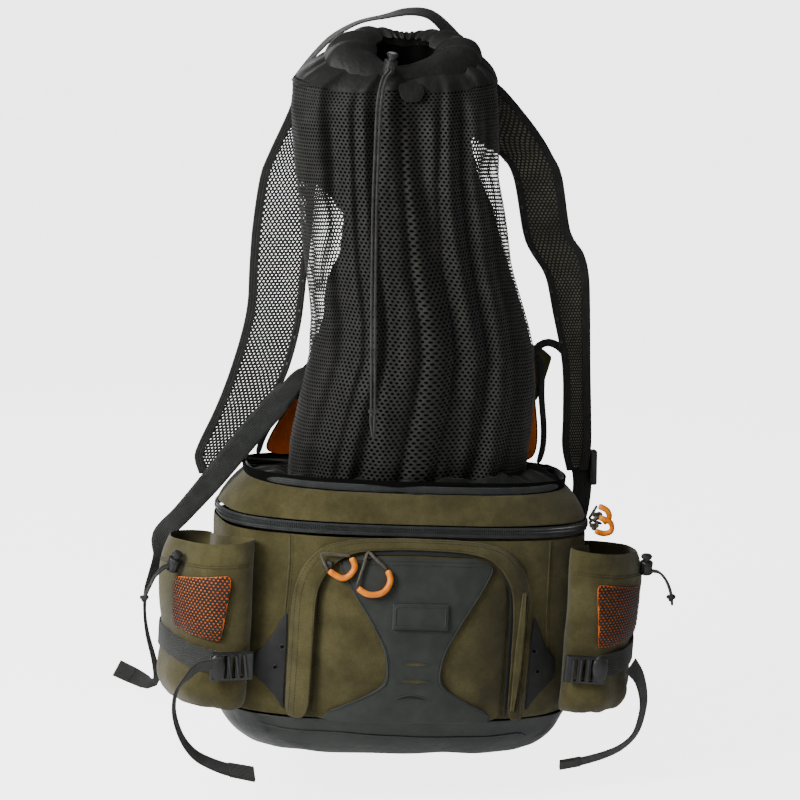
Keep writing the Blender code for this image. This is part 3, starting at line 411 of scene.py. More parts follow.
# %% Brushed olive cloth
OLIVE = [(0.050, 0.0425, 0.0140), (0.068, 0.0585, 0.0205), (0.090, 0.078, 0.0295)]
olive, shader, place = pattern_finish("brushed_olive", OLIVE, 0.95, 28.0, 1500.0, 0.55,
                                      sheen=0.25, specular=0.2)
speckle = pattern(olive, place, "Noise", Scale=900.0, Detail=4.0, Roughness=0.75)
over_colour(olive, shader, speckle.outputs["Fac"], 0.75, colours=((0.45,) * 3, (1.55,) * 3))
clouds = pattern(olive, place, "Noise", Scale=190.0, Detail=5.0, Roughness=0.6)
over_colour(olive, shader, clouds.outputs["Fac"], 0.35, colours=((0.7,) * 3, (1.3,) * 3))
stack_bump(olive, shader, clouds.outputs["Fac"], 0.25, 0.0012)
print("olive cloth: nodes", len(olive.node_tree.nodes))

# %% Coated charcoal cloth and the glossier base cloth
charcoal, shader, place = pattern_finish(
    "coated_charcoal", [(0.021, 0.024, 0.021), (0.028, 0.032, 0.028), (0.036, 0.040, 0.035)],
    0.62, 30.0, 1900.0, 0.3, sheen=0.1, specular=0.35)
pores = pattern(charcoal, place, "Voronoi", Scale=900.0)
stack_bump(charcoal, shader, pores.outputs["Distance"], 0.22, 0.0004)
base_cloth, shader, place = pattern_finish(
    "coated_base", [(0.014, 0.017, 0.015), (0.020, 0.024, 0.021), (0.029, 0.033, 0.030)],
    0.32, 16.0, 1200.0, 0.25)
dents = pattern(base_cloth, place, "Noise", Scale=42.0, Detail=3.0)
stack_bump(base_cloth, shader, dents.outputs["Fac"], 0.35, 0.006)
print("charcoal and base cloth ready")

# %% Black nylon, net yarn and orange lining
nylon, shader, place = pattern_finish(
    "black_nylon", [(0.004, 0.0044, 0.0036), (0.006, 0.0064, 0.0053), (0.009, 0.0094, 0.0078)],
    0.56, 35.0, 1500.0, 0.3, sheen=0.05, specular=0.35)
crumple = pattern(nylon, place, "Noise", Scale=60.0, Detail=4.0, Roughness=0.55)
stack_bump(nylon, shader, crumple.outputs["Fac"], 0.5, 0.004)
yarn = plain_finish(
    "net_yarn", [(0.0070, 0.0070, 0.0055), (0.0108, 0.0108, 0.0086), (0.0168, 0.0168, 0.0134)],
    0.66, 60.0, 2400.0, 0.3, sheen=0.15, specular=0.3)
lining, shader, place = pattern_finish(
    "orange_lining", [(0.78, 0.110, 0.001), (0.90, 0.155, 0.001), (0.97, 0.210, 0.002)],
    0.62, 25.0, 1800.0, 0.3, sheen=0.2, specular=0.3)
threads = pattern(lining, place, "Voronoi", Scale=1100.0)
over_colour(lining, shader, threads.outputs["Distance"], 0.4)
# Painted shade: a near-black finish, darker than the black nylon, for the shaded insides of the sack and
# the body and for the eyelets' holes.
inside = plain_finish(
    "painted_inside_shade", [(0.0014, 0.0014, 0.0012), (0.0021, 0.0021, 0.0018), (0.0030, 0.0030, 0.0026)],
    0.85, 40.0, 1200.0, 0.3, specular=0.1)
print("nylon, yarn and lining ready")

# %% [markdown]
# ### Webbing and cords
#
# Webbing is woven in ribs along its length, crossed by the weft every millimetre or so. Its pieces
# carry a UV map in metres, across and along, so the same waves fit a strap wherever it bends. Cords
# are braided: fine waves along three axes cross each other.

# %% Webbing and zip tape
def woven_band(name, colours, roughness, rib, weft, depth, level=False):
    """Ribs along a band, crossed by the weft; a level band goes round the leaning body instead."""
    paint, shader, place = pattern_finish(name, colours, roughness, 60.0, 900.0, 0.2,
                                          sheen=0.15, specular=0.35, uv=not level)
    if level:
        turner = wire(paint, "ShaderNodeMapping")
        turner.inputs["Rotation"].default_value = (0.0, -LEAN, 0.0)
        join(paint, place, turner.inputs["Vector"])
        place = turner.outputs["Vector"]
    ribs = pattern(paint, place, "Wave", bands_direction="Z" if level else "X", Scale=rib,
                   Distortion=0.6)
    cross = pattern(paint, place, "Wave", bands_direction="DIAGONAL" if level else "Y", Scale=weft,
                    Distortion=1.2)
    over_colour(paint, shader, cross.outputs["Fac"], 0.55, colours=((0.55,) * 3, (1.35,) * 3))
    over_colour(paint, shader, ribs.outputs["Fac"], 0.45, colours=((0.65,) * 3, (1.25,) * 3))
    stack_bump(paint, shader, cross.outputs["Fac"], depth, 0.0005)
    stack_bump(paint, shader, ribs.outputs["Fac"], depth, 0.0006)
    return paint


WEBBING = [(0.017, 0.018, 0.016), (0.025, 0.027, 0.024), (0.035, 0.037, 0.033)]
TAPE = [(0.014, 0.016, 0.016), (0.021, 0.024, 0.023), (0.030, 0.034, 0.033)]
BINDING = [(0.007, 0.007, 0.006), (0.011, 0.011, 0.0095), (0.016, 0.016, 0.014)]
webbing = woven_band("dark_webbing", WEBBING, 0.72, 150.0, 230.0, 0.6)
tape = woven_band("zip_tape", TAPE, 0.60, 160.0, 260.0, 0.45)
level_tape = woven_band("level_zip_tape", TAPE, 0.60, 150.0, 260.0, 0.5, level=True)
level_webbing = woven_band("level_webbing", WEBBING, 0.72, 150.0, 230.0, 0.55, level=True)
binding = woven_band("net_binding", BINDING, 0.72, 120.0, 260.0, 0.55)
print("bands ready")

# %% Cords, tube, plastic and thread
def braided(name, colours, roughness):
    """Fine waves along all three axes, which cross as a braid's strands do."""
    paint, shader, place = pattern_finish(name, colours, roughness, 90.0, 1500.0, 0.25,
                                          sheen=0.2, specular=0.35)
    for axis in ("X", "Y", "Z"):
        strands = pattern(paint, place, "Wave", bands_direction=axis, Scale=320.0, Distortion=1.0)
        over_colour(paint, shader, strands.outputs["Fac"], 0.35)
        stack_bump(paint, shader, strands.outputs["Fac"], 0.4, 0.0004)
    return paint


black_cord = braided(
    "black_cord", [(0.016, 0.016, 0.014), (0.028, 0.028, 0.025), (0.045, 0.045, 0.040)], 0.7)
olive_cord = braided(
    "olive_cord", [(0.050, 0.045, 0.030), (0.085, 0.076, 0.052), (0.130, 0.118, 0.084)], 0.75)
tube = plain_finish(
    "orange_tube", [(0.80, 0.170, 0.001), (0.92, 0.235, 0.001), (0.98, 0.300, 0.003)],
    0.42, 120.0, 1300.0, 0.15)
plastic = plain_finish(
    "moulded_plastic", [(0.012, 0.013, 0.012), (0.017, 0.018, 0.017), (0.024, 0.025, 0.024)],
    0.36, 45.0, 1400.0, 0.12)
coil = plain_finish(
    "zip_coil", [(0.016, 0.018, 0.018), (0.024, 0.026, 0.026), (0.040, 0.044, 0.043)],
    0.34, 80.0, 900.0, 0.1)
thread = plain_finish(
    "seam_thread", [(0.030, 0.025, 0.013), (0.044, 0.037, 0.020), (0.060, 0.051, 0.029)],
    0.85, 90.0, 1500.0, 0.2, specular=0.2)
foam = plain_finish(
    "covered_foam", [(0.012, 0.012, 0.011), (0.018, 0.018, 0.016), (0.025, 0.025, 0.022)],
    0.85, 40.0, 1100.0, 0.5, sheen=0.3, specular=0.25)
for cord in list(drawcords.values()) + cord_knots:
    cord.data.materials.append(black_cord)
print("all finishes:", len([m for m in bpy.data.materials if m.use_nodes]))

# %% [markdown]
# ## Tools of the workshop
#
# A few helpers serve every piece. `mesh_of` turns arrays into a mesh, `from_grid` lays cloth over
# rows and columns of points with a UV map in metres, `take` copies a solid and softens it into
# cloth, `reshape` moves its points, and `dress` gives a piece its finish and its body and hides the
# solids it stands for.
# `cloth` and `sheet` do all of that for a solid's cloth and for cloth over a grid.

# %% Meshes from arrays
def mesh_of(name, points, faces, uv=None):
    """A mesh of faces that all have the same number of sides; points in metres."""
    mesh = bpy.data.meshes.new(name)
    faces = np.asarray(faces, np.int32)
    count, sides = faces.shape
    mesh.vertices.add(len(points))
    mesh.vertices.foreach_set("co", np.asarray(points, np.float32).ravel())
    mesh.loops.add(count * sides)
    mesh.loops.foreach_set("vertex_index", faces.ravel())
    mesh.polygons.add(count)
    mesh.polygons.foreach_set("loop_start", np.arange(0, count * sides, sides, dtype=np.int32))
    mesh.update(calc_edges=True)
    if uv is not None:
        layer = mesh.uv_layers.new(name="UVMap")
        layer.data.foreach_set("uv", np.asarray(uv, np.float32)[faces.ravel()].ravel())
    item = bpy.data.objects.new(name, mesh)
    bpy.context.scene.collection.objects.link(item)
    return item


def run_lengths(line):
    """How far along a line each of its points lies."""
    return np.concatenate([[0.0], np.cumsum(np.linalg.norm(np.diff(line, axis=0), axis=1))])


def from_grid(name, grid, close=False):
    """Cloth over a grid of points in metres, with a UV map in metres both ways."""
    if close:
        grid = np.concatenate([grid, grid[:, :1]], axis=1)
    rows, columns = grid.shape[:2]
    index = np.arange(rows * columns).reshape(rows, columns)
    faces = np.stack([index[:-1, :-1], index[:-1, 1:], index[1:, 1:], index[1:, :-1]], axis=-1)
    u = run_lengths(grid[rows // 2])
    v = run_lengths(grid[:, columns // 2])
    uv = np.stack(np.meshgrid(u, v), axis=-1).reshape(-1, 2)
    return mesh_of(name, grid.reshape(-1, 3), faces.reshape(-1, 4), uv)


print("array tools ready")


# %% Modelling steps
def only(item):
    """Selects one piece and makes it active."""
    bpy.ops.object.select_all(action="DESELECT")
    item.select_set(True)
    bpy.context.view_layer.objects.active = item


def step(item, kind, **settings):
    """Adds a modifier with its settings and applies it."""
    only(item)
    made = item.modifiers.new(kind.lower(), kind)
    for key, value in settings.items():
        setattr(made, key, value)
    bpy.ops.object.modifier_apply(modifier=made.name)


def clean(item, merge=1e-5, quads=True):
    """Merges doubles, joins triangles into quads and turns all faces outwards."""
    only(item)
    bpy.ops.object.mode_set(mode="EDIT")
    bpy.ops.mesh.select_all(action="SELECT")
    bpy.ops.mesh.remove_doubles(threshold=merge)
    if quads:
        bpy.ops.mesh.tris_convert_to_quads(face_threshold=0.9, shape_threshold=1.2)
    bpy.ops.mesh.normals_make_consistent(inside=False)
    bpy.ops.object.mode_set(mode="OBJECT")


def take(node, name, levels=2):
    """A copy of a solid's mesh, merged and softened into cloth by subdivision."""
    item = bpy.data.objects.new(name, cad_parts[node].data.copy())
    bpy.context.scene.collection.objects.link(item)
    clean(item)
    if levels:
        step(item, "SUBSURF", levels=levels, render_levels=levels)
    return item


def reshape(item, change):
    """Moves every point of a mesh by a function of its places in millimetres."""
    flat = np.empty(len(item.data.vertices) * 3, np.float32)
    item.data.vertices.foreach_get("co", flat)
    points = flat.reshape(-1, 3) / MM + HOOK
    item.data.vertices.foreach_set("co", away(change(points)).astype(np.float32).ravel())
    item.data.update()


def dress(item, paint, nodes=(), body="pack", angle=50.0):
    """Gives a piece its finish, smooth faces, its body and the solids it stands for."""
    item.data.materials.clear()
    item.data.materials.append(paint)
    if item.type == "MESH" and angle:
        only(item)
        bpy.ops.object.shade_smooth_by_angle(angle=math.radians(angle))
    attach(item, body)
    if nodes:
        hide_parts(*nodes)
    return item


def cloth(node, name, levels, paint, change=None):
    """A solid softened into cloth, moved by a change and dressed to stand for the solid."""
    item = take(node, name, levels)
    if change:
        reshape(item, change)
    return dress(item, paint, [node])


def sheet(name, places, paint, thick=0.0, offset=-1.0, nodes=(), close=False):
    """Cloth over a grid of places in millimetres; its thickness is in metres."""
    item = from_grid(name, away(places), close)
    if thick:
        step(item, "SOLIDIFY", thickness=thick, offset=offset)
    clean(item, quads=False)
    return dress(item, paint, nodes)


def facing(normal):
    """The turn that points a new shape's own up along a normal."""
    return Vector(normal).to_track_quat("Z", "Y").to_euler()


def settle(name):
    """Names the shape just made and puts its origin at the world's."""
    item = bpy.context.object
    item.name = name
    bpy.ops.object.transform_apply(location=True, rotation=True, scale=True)
    return item


print("modelling steps ready")


# %% Wrinkles, surfaces and repeats
def ripple(points, length, seed, count=7):
    """A soft wave over space, about one in height, made of a few slanting waves."""
    dice = np.random.default_rng(seed)
    total = np.zeros(points.shape[:-1])
    for _ in range(count):
        way = unit(dice.normal(size=3)) * (0.7 + 0.6 * dice.random()) * 2 * math.pi / length
        total += np.sin(points @ way + dice.random() * 6.3)
    return total / count ** 0.5


BODY_HALF_WIDTH, BODY_HALF_DEPTH = 204.0, 100.0


def outward(points):
    """The way out of the body at each point, seen from above."""
    p = points - np.array([LEAN_SHIFT, 0.0, 0.0])
    way = np.zeros_like(p)
    for axis, half in ((0, BODY_HALF_WIDTH), (1, BODY_HALF_DEPTH)):
        way[:, axis] = np.sign(p[:, axis]) * (np.abs(p[:, axis]) / half) ** 2 / half
    return way / np.maximum(np.linalg.norm(way, axis=1, keepdims=True), 1e-9)


def wrinkled(height, length, seed):
    """A change for reshape that lifts cloth in and out by soft wrinkles."""
    def change(points):
        wave = ripple(points * np.array([1.0, 1.0, 0.7]), length, seed)
        return points + outward(points) * (wave * height)[:, None]
    return change


def tree_of(*items):
    """What rays are cast at: the surfaces of some pieces."""
    points, faces = [], []
    for item in items:
        base = len(points)
        points += [v.co.copy() for v in item.data.vertices]
        faces += [[base + i for i in poly.vertices] for poly in item.data.polygons]
    return BVHTree.FromPolygons(points, faces)


def meet(tree, start, way, lift, out):
    """Adds (place, normal) to out where a ray meets a surface, with the normal against the ray."""
    hit, normal, _, _ = tree.ray_cast(Vector(start), way)
    if hit is not None:
        normal = -normal if normal.dot(way) > 0 else normal
        out.append((np.array(hit + normal * lift * MM), np.array(normal)))


BEFORE_FRONT = -260.0


def on_front(tree, spots, lift=0.0, upright=True):
    """Rows of (place, normal) where points of the front view, x and z, meet a surface."""
    out = []
    for x, z in spots:
        start = (x, BEFORE_FRONT, z)
        meet(tree, away(leaned(start) if upright else start), Vector((0.0, 1.0, 0.0)), lift, out)
    return out


def surface_line(tree, spots, lift=0.0, upright=True, spacing=4.0):
    """The same for a smooth line through points of the front view."""
    line = smooth_rows([(x, z, 0.0) for x, z in spots], spacing)[:, :2]
    return on_front(tree, line, lift, upright)


def cord_along(name, rows, radius, paint):
    """A thin round line through the places of some rows."""
    return dress(round_line(name, np.array([row[0] for row in rows]), radius), paint)


def frames_along(rows, pitch):
    """Frames (place, ahead, side, normal) every pitch, in mm, along rows of (place, normal)."""
    places = np.array([row[0] for row in rows])
    normals = np.array([row[1] for row in rows])
    run = run_lengths(places)
    wanted = np.arange(pitch / 2, run[-1] / MM, pitch) * MM
    out = []
    for want in wanted:
        i = min(np.searchsorted(run, want), len(run) - 1)
        t = (want - run[i - 1]) / max(run[i] - run[i - 1], 1e-9)
        ahead = unit(places[i] - places[i - 1])
        normal = unit(normals[i - 1] * (1 - t) + normals[i] * t)
        side = unit(np.cross(normal, ahead))
        out.append((places[i - 1] * (1 - t) + places[i] * t, ahead, side, normal))
    return out


def turned(frames):
    """The same frames with their shapes lying across the line."""
    return [(place, side, -ahead, normal) for place, ahead, side, normal in frames]


def repeat(name, template, frames, paint):
    """One small shape, points and faces in metres, set down in every frame, as one mesh."""
    points, faces = template
    points = np.asarray(points)
    whole, index = [], []
    for i, (place, ahead, side, normal) in enumerate(frames):
        whole.append(place + points @ np.array([ahead, side, normal]))
        index.append(np.asarray(faces) + i * len(points))
    item = mesh_of(name, np.concatenate(whole), np.concatenate(index))
    return dress(item, paint)


def bar(length, width, height, corner=0.35):
    """A small rounded bar lying along a frame: a stitch or one turn of a zip's coil."""
    l, w, h = length * MM / 2, width * MM / 2, height * MM
    c = 1 - corner
    points = [(-l, 0, 0), (-l * c, -w, 0), (-l * c, 0, h), (-l * c, w, 0),
              (l * c, -w, 0), (l * c, 0, h), (l * c, w, 0), (l, 0, 0)]
    faces = [(0, 2, 1), (0, 3, 2), (1, 2, 5), (1, 5, 4), (2, 3, 6), (2, 6, 5), (4, 5, 7), (5, 6, 7)]
    return points, faces


STITCH = bar(2.6, 0.7, 0.45)


def stitches(name, tree, lines, pitch=3.6, lift=0.1, paint=None, upright=True):
    """Rows of stitches along lines of the front view, laid on a surface."""
    frames = []
    for line in lines:
        rows = surface_line(tree, line, lift, upright)
        if len(rows) > 2:
            frames += frames_along(rows, pitch)
    return repeat(name, STITCH, frames, paint or thread)


print("repeats ready")


# %% Bands of webbing
BAND_SPACING = 6.0


def band(name, rows, thick, paint, nodes=()):
    """Webbing along rows of x, depth, height, turn and width, with rounded selvedges."""
    line = smooth_rows(rows, BAND_SPACING)
    centres, turn, width = line[:, :3], np.radians(line[:, 3]), line[:, 4]
    ahead = np.gradient(centres, axis=0)
    ahead /= np.linalg.norm(ahead, axis=1, keepdims=True)
    depth = np.array([0.0, 1.0, 0.0]) - ahead * ahead[:, 1:2]
    depth /= np.linalg.norm(depth, axis=1, keepdims=True)
    flat = np.cross(ahead, depth)
    across = flat * np.cos(turn)[:, None] + depth * np.sin(turn)[:, None]
    return loft_band(name, centres, across * width[:, None], thick, paint, nodes)


# Places round the section, as shares of the width and of half the thickness.
BAND_SECTION = [(-0.5, 0.0), (-0.47, 0.8), (-0.36, 1.0), (-0.12, 0.86), (0.12, 0.86), (0.36, 1.0),
                (0.47, 0.8), (0.5, 0.0), (0.47, -0.8), (0.36, -1.0), (0.12, -0.86), (-0.12, -0.86),
                (-0.36, -1.0), (-0.47, -0.8)]


def loft_band(name, centres, across, thick, paint, nodes=()):
    """The band itself: a rounded flat section carried along centres in millimetres."""
    ahead = np.gradient(centres, axis=0)
    normal = np.cross(ahead, across)
    normal /= np.linalg.norm(normal, axis=1, keepdims=True)
    rings = [centres + across * u + normal * (v * thick / 2) for u, v in BAND_SECTION]
    grid = away(np.stack(rings, axis=1))
    run = run_lengths(away(centres))
    rows, count = grid.shape[:2]
    width = float(np.linalg.norm(across[0])) * MM
    u = np.array([s[0] for s in BAND_SECTION]) * width
    uv = np.stack(np.broadcast_arrays(u[None, :], run[:, None]), axis=-1).reshape(-1, 2)
    index = np.arange(rows * count).reshape(rows, count)
    after = np.roll(index, -1, axis=1)
    faces = np.stack([index[:-1], after[:-1], after[1:], index[1:]], axis=-1).reshape(-1, 4)
    item = mesh_of(name, grid.reshape(-1, 3), faces, uv)
    only(item)
    bpy.ops.object.mode_set(mode="EDIT")
    bpy.ops.mesh.select_all(action="DESELECT")
    bpy.ops.mesh.select_non_manifold(extend=False)
    bpy.ops.mesh.edge_face_add()
    bpy.ops.mesh.select_all(action="SELECT")
    bpy.ops.mesh.normals_make_consistent(inside=False)
    bpy.ops.object.mode_set(mode="OBJECT")
    return dress(item, paint, nodes)


print("bands ready")

# %% [markdown]
# ## The body
#
# Four rings of cloth, one over the other, make the body: a band under the opening, the closed
# expansion zip round the whole pack, the main panels and the glossier base. Each solid is softened
# by subdivision and then lifted in and out by a few slanting waves, as cloth over light stuffing is.

# %% Body rings
upper_band = cloth("upper_band", "upper_band_cloth", 3, olive, wrinkled(1.1, 70.0, 3))
body_cloth = cloth("main_body", "body_cloth", 3, olive, wrinkled(1.3, 95.0, 5))
base = cloth("base_panel", "base_cloth", 3, base_cloth, wrinkled(1.2, 60.0, 8))
back_pad = cloth("back_panel", "back_pad", 3, foam,
                 lambda p: p + np.array([0, 1, 0]) * (1.5 * np.cos(p[:, 0:1] * 0.09)))
print("base cloth:", len(base.data.polygons), "faces")

# %% [markdown]
# ### The expansion zip
#
# The zip that runs round the body is a woven tape with a coil of nylon in its middle. The coil is
# one turn modelled as a small rounded bar and copied every two millimetres round the ring, in two
# rows that meet, which is what makes a closed zip glint as a fine ladder.

# %% Expansion zip
zip_tree = tree_of(cloth("expansion_zip", "expansion_zip_tape", 2, level_tape))
ZIP_HEIGHT, COIL_SHIFT, COIL_PITCH = -536.6, 1.5, 2.0
COIL_TURN = bar(2.9, 1.1, 1.0)
RING_REACH, RING_SQUASH = 400.0, 0.55


def ring_ray(turn, height):
    """The middle of the body and a point well outside it, on one upright height."""
    way = np.array([math.cos(turn) * RING_REACH, math.sin(turn) * RING_SQUASH * RING_REACH, height])
    return away(leaned((0.0, 0.0, height))), away(leaned(way))


def ring_rows(tree, height, count=360, first=0.0, last=360.0):
    """Rows of (place, normal) round the body at one upright height, from outside."""
    out = []
    for turn in np.radians(np.linspace(first, last, count)):
        middle, outside = ring_ray(turn, height)
        meet(tree, outside, Vector(middle - outside).normalized(), 0.0, out)
    return out


coil_frames = []
for shift in (-COIL_SHIFT, COIL_SHIFT):
    coil_frames += turned(frames_along(ring_rows(zip_tree, ZIP_HEIGHT + shift), COIL_PITCH))
repeat("expansion_zip_coil", COIL_TURN, coil_frames, coil)
print("coil turns:", len(coil_frames))

# %% [markdown]
# ## The front pocket
#
# The pocket's olive cloth bulges out of the body. A dark coated panel lies on it, wide at the top
# and the foot with a waist between, stitched all round, with three worn slits at its waist. Over it
# goes the arch: a double-stitched band whose legs fold forward like pleats, with the zip under its
# inner edge.

# %% Pocket, panel and arch
cloth("front_pocket", "front_pocket_cloth", 2, olive)
panel = cloth("front_panel", "front_panel_cloth", 3, charcoal)
arch = cloth("front_arch", "front_arch_cloth", 3, olive,
             lambda p: p + np.array([0.0, -1.0, 0.0]) * (0.7 * ripple(p, 42.0, 11))[:, None])
front_tape = cloth("front_zip", "front_zip_tape", 1, tape)
panel_tree = tree_of(panel)
arch_tree = tree_of(arch)
print("arch faces:", len(arch.data.polygons))

# %% Lines of the arch and the panel
# Places across half of the arch, outer x and z and inner x and z; then half of the panel, z and x.
ARCH = [
    (131.0, -743.3, 105.0, -743.3), (131.0, -700.0, 105.0, -700.0), (131.0, -650.0, 105.0, -650.0),
    (130.0, -612.0, 105.0, -614.0), (126.0, -590.0, 102.0, -596.0), (117.0, -572.0, 95.0, -582.0),
    (104.0, -558.5, 86.0, -570.0), (88.0, -551.0, 74.0, -562.0), (60.0, -546.5, 54.0, -558.0),
    (30.0, -545.0, 28.0, -556.5), (0.0, -544.6, 0.0, -556.0),
]
PANEL = [
    (-565.0, 74.0), (-571.0, 84.0), (-579.0, 82.0), (-598.0, 70.5), (-625.0, 52.5), (-645.0, 41.0),
    (-660.0, 33.5), (-676.0, 30.0), (-690.0, 29.5), (-700.0, 34.0), (-711.0, 49.5), (-725.0, 74.0),
    (-734.0, 90.0),
]


def arch_line(share):
    """A line along the whole arch, at a share of its width in from the outer edge."""
    half = [(xo + (xi - xo) * share, zo + (zi - zo) * share) for xo, zo, xi, zi in ARCH]
    return [(-x, z) for x, z in half] + half[-2::-1]


def panel_side(inset, side):
    """One side of the panel, some millimetres in from its outline."""
    return [((half - inset) * side, z) for z, half in PANEL[1:]]


stitches("arch_stitches", arch_tree, [arch_line(0.13), arch_line(0.32), arch_line(0.84)])
dark_thread = plain_finish(
    "dark_thread", [(0.020, 0.021, 0.018), (0.030, 0.031, 0.027), (0.045, 0.046, 0.040)],
    0.8, 90.0, 1500.0, 0.2, specular=0.2)
panel_top = [(-76.0, -568.5), (-40.0, -567.5), (0.0, -567.2), (40.0, -567.5), (76.0, -568.5)]
stitches("panel_stitches", panel_tree,
         [panel_side(3.4, -1), panel_side(3.4, 1), panel_top, [(x, z - 4.0) for x, z in panel_top]],
         paint=dark_thread)
print("arch and panel stitched")

# %% Pleats of the arch's legs
def pleat(name, spots, width, thick, lift):
    """A soft folded ridge of cloth on the arch, along points of the front view."""
    centres = np.array([row[0] for row in surface_line(arch_tree, spots, lift)]) / MM + HOOK
    across = np.zeros_like(centres)
    across[:, 0] = width * (0.45 + 0.55 * np.sin(np.linspace(0.0, math.pi, len(centres))))
    return loft_band(name, centres, across, thick, olive)


pleat("arch_pleat_right", [(119.0, -600.0), (117.0, -640.0), (115.0, -690.0), (113.0, -728.0)],
      8.5, 5.0, 1.0)
pleat("arch_pleat_right_edge", [(127.0, -610.0), (126.0, -650.0), (125.0, -690.0), (122.0, -730.0)],
      5.5, 4.0, 0.6)
# A thin black line of painted shade along the crease beside the right pleat.
PLEAT_SHADE_LINE = [(123.2, -604.0), (121.5, -645.0), (120.0, -690.0), (118.0, -731.0)]
cord_along("arch_pleat_shade_right", surface_line(arch_tree, PLEAT_SHADE_LINE, 0.3), 0.9, nylon)
print("pleats laid")

# %% Seams of the body and the base
body_tree, base_tree = tree_of(body_cloth), tree_of(base)
BODY_SEAMS = [[(-135.0, -548.0), (-134.0, -580.0), (-137.0, -640.0), (-143.0, -700.0)],
              [(150.0, -548.0), (150.0, -580.0), (152.0, -640.0), (160.0, -705.0)]]
for number, spots in enumerate(BODY_SEAMS):
    cord_along("body_seam_%d" % (number + 1), surface_line(body_tree, spots, 0.1), 1.0, olive)
stitches("body_seam_stitches", body_tree, [[(x + 3.2, z) for x, z in spots] for spots in BODY_SEAMS])
BASE_SEAM = [(-168.0, -745.0), (-130.0, -751.0), (-81.0, -754.8), (-27.0, -762.0), (60.0, -769.0),
             (112.0, -770.5), (124.0, -776.0)]
base_rows = surface_line(base_tree, BASE_SEAM, 0.2, upright=False)
cord_along("base_seam_1", base_rows, 1.1, base_cloth)
print("seams laid")

# %% Coil of the front zip
front_tree = tree_of(front_tape)
front_frames = turned(frames_along(surface_line(front_tree, arch_line(1.06)), COIL_PITCH))
repeat("front_zip_coil", COIL_TURN, front_frames, coil)
print("front coil turns:", len(front_frames))

# %% [markdown]
# ### Slits, edge cord and badge
#
# The panel's three slits are cuts whose lips stand up a little; under the upper two the olive cloth
# shows. A raised cord runs just inside the panel's outline. The badge is a blank plate
# with a raised border: the label's own words are left off.

# %% Slits and edge cord
# Height, half length and sag of each slit.
SLITS = [(-674.0, 15.0, 0.0), (-693.0, 18.0, 0.0), (-711.0, 20.0, -5.0)]
SLIT_RISE, LIP_RISE, LIP_LONGER = 1.9, 2.3, 1.04


def panel_cord(name, spots, radius):
    """A thin round line of the panel's own cloth, laid on it."""
    cord_along(name, surface_line(panel_tree, spots, spacing=3.0), radius, charcoal)


for number, (height, half, sag) in enumerate(SLITS):
    grid = []
    for s in np.linspace(-1, 1, 17):
        middle, rise = height + sag * s * s, SLIT_RISE * (1 - s * s)
        row = [(half * s, middle + rise * k) for k in (-1.0, 0.0, 1.0)]
        grid.append([place for place, _ in on_front(panel_tree, row, 0.25)])
    slit = from_grid("slit_floor_%d" % (number + 1), np.array(grid))
    clean(slit, quads=False)
    dress(slit, olive if number < 2 else nylon)
    for sign, part in ((-1.0, "low"), (1.0, "high")):
        spots = [(half * s * LIP_LONGER, height + sag * s * s + sign * LIP_RISE * (1 - s * s))
                 for s in np.linspace(-1, 1, 9)]
        panel_cord("slit_lip_%s_%d" % (part, number + 1), spots, 0.75)
for part, sign in SIDES.items():
    panel_cord("panel_edge_" + part, panel_side(1.2, sign), 0.9)
print("slits:", len(SLITS))

# %% Badge
BORDER_HALF, BORDER_POWER = (27.2, 10.8), 0.22
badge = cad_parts["badge"]
badge.data.materials.clear()
badge.data.materials.append(charcoal)
centre = sum(drawn_box("badge")) / 2
border = []
for turn in np.radians(np.arange(0, 361, 7.5)):
    x, z = [half * math.copysign(abs(k) ** BORDER_POWER, k)
            for half, k in zip(BORDER_HALF, (math.cos(turn), math.sin(turn)))]
    border.append((centre[0] + x * math.cos(LEAN) + z * math.sin(LEAN),
                   centre[2] + z * math.cos(LEAN) - x * math.sin(LEAN)))
border_rows = on_front(tree_of(badge), border, 0.0, upright=False)
cord_along("badge_border", border_rows, 0.8, charcoal)
print("badge border points:", len(border_rows))

# %% [markdown]
# ## The net sack
#
# The sack is knotted net, cut through for real: every cell is a six-sided hole with yarn round it.
# The cloth hangs in long folds that run down from the drawn mouth. Its back is plain black nylon in
# the middle and all the way across lower down, so only two patches high at the sides are seen
# through. The same fold table shapes the net and the nylon, so they hang together.

# %% Shape of the sack
# Height, left, right, front, back, and how much the back stands above the front.
SACK = [
    (-48.0, -84.0, 90.0, -36.0, 30.0, 17.0), (-62.0, -114.0, 105.0, -45.0, 34.0, 11.0),
    (-92.0, -118.5, 107.0, -52.0, 37.0, 5.0), (-170.0, -111.5, 107.0, -61.0, 35.0, 0.0),
    (-262.0, -104.0, 122.0, -67.0, 32.0, 0.0), (-320.0, -97.0, 137.0, -74.0, 32.0, 0.0),
    (-358.0, -99.0, 147.0, -77.0, 32.0, 0.0), (-400.0, -110.0, 149.0, -78.0, 34.0, 0.0),
    (-452.0, -121.0, 146.0, -74.0, 36.0, 0.0), (-508.0, -126.0, 138.0, -66.0, 38.0, 0.0),
]
# Place across the width at the top and at the foot, half width, depth, and back or front.
FOLDS = [
    (-0.62, -0.84, 0.10, 17.0, -1.0), (-0.22, -0.48, 0.08, 13.0, -1.0), (0.12, 0.30, 0.12, 12.0, -1.0),
    (0.60, 0.46, 0.08, 15.0, -1.0), (0.85, 0.72, 0.07, 9.0, -1.0), (-0.42, -0.66, 0.05, 8.0, -1.0),
    (0.00, -0.15, 0.05, 6.0, -1.0), (0.40, 0.12, 0.05, 7.0, -1.0), (-0.45, -0.50, 0.16, 5.0, 1.0),
    (0.40, 0.45, 0.16, 5.0, 1.0),
]
SACK_TABLE = np.array(SACK)[::-1]
SACK_POWER = 0.85


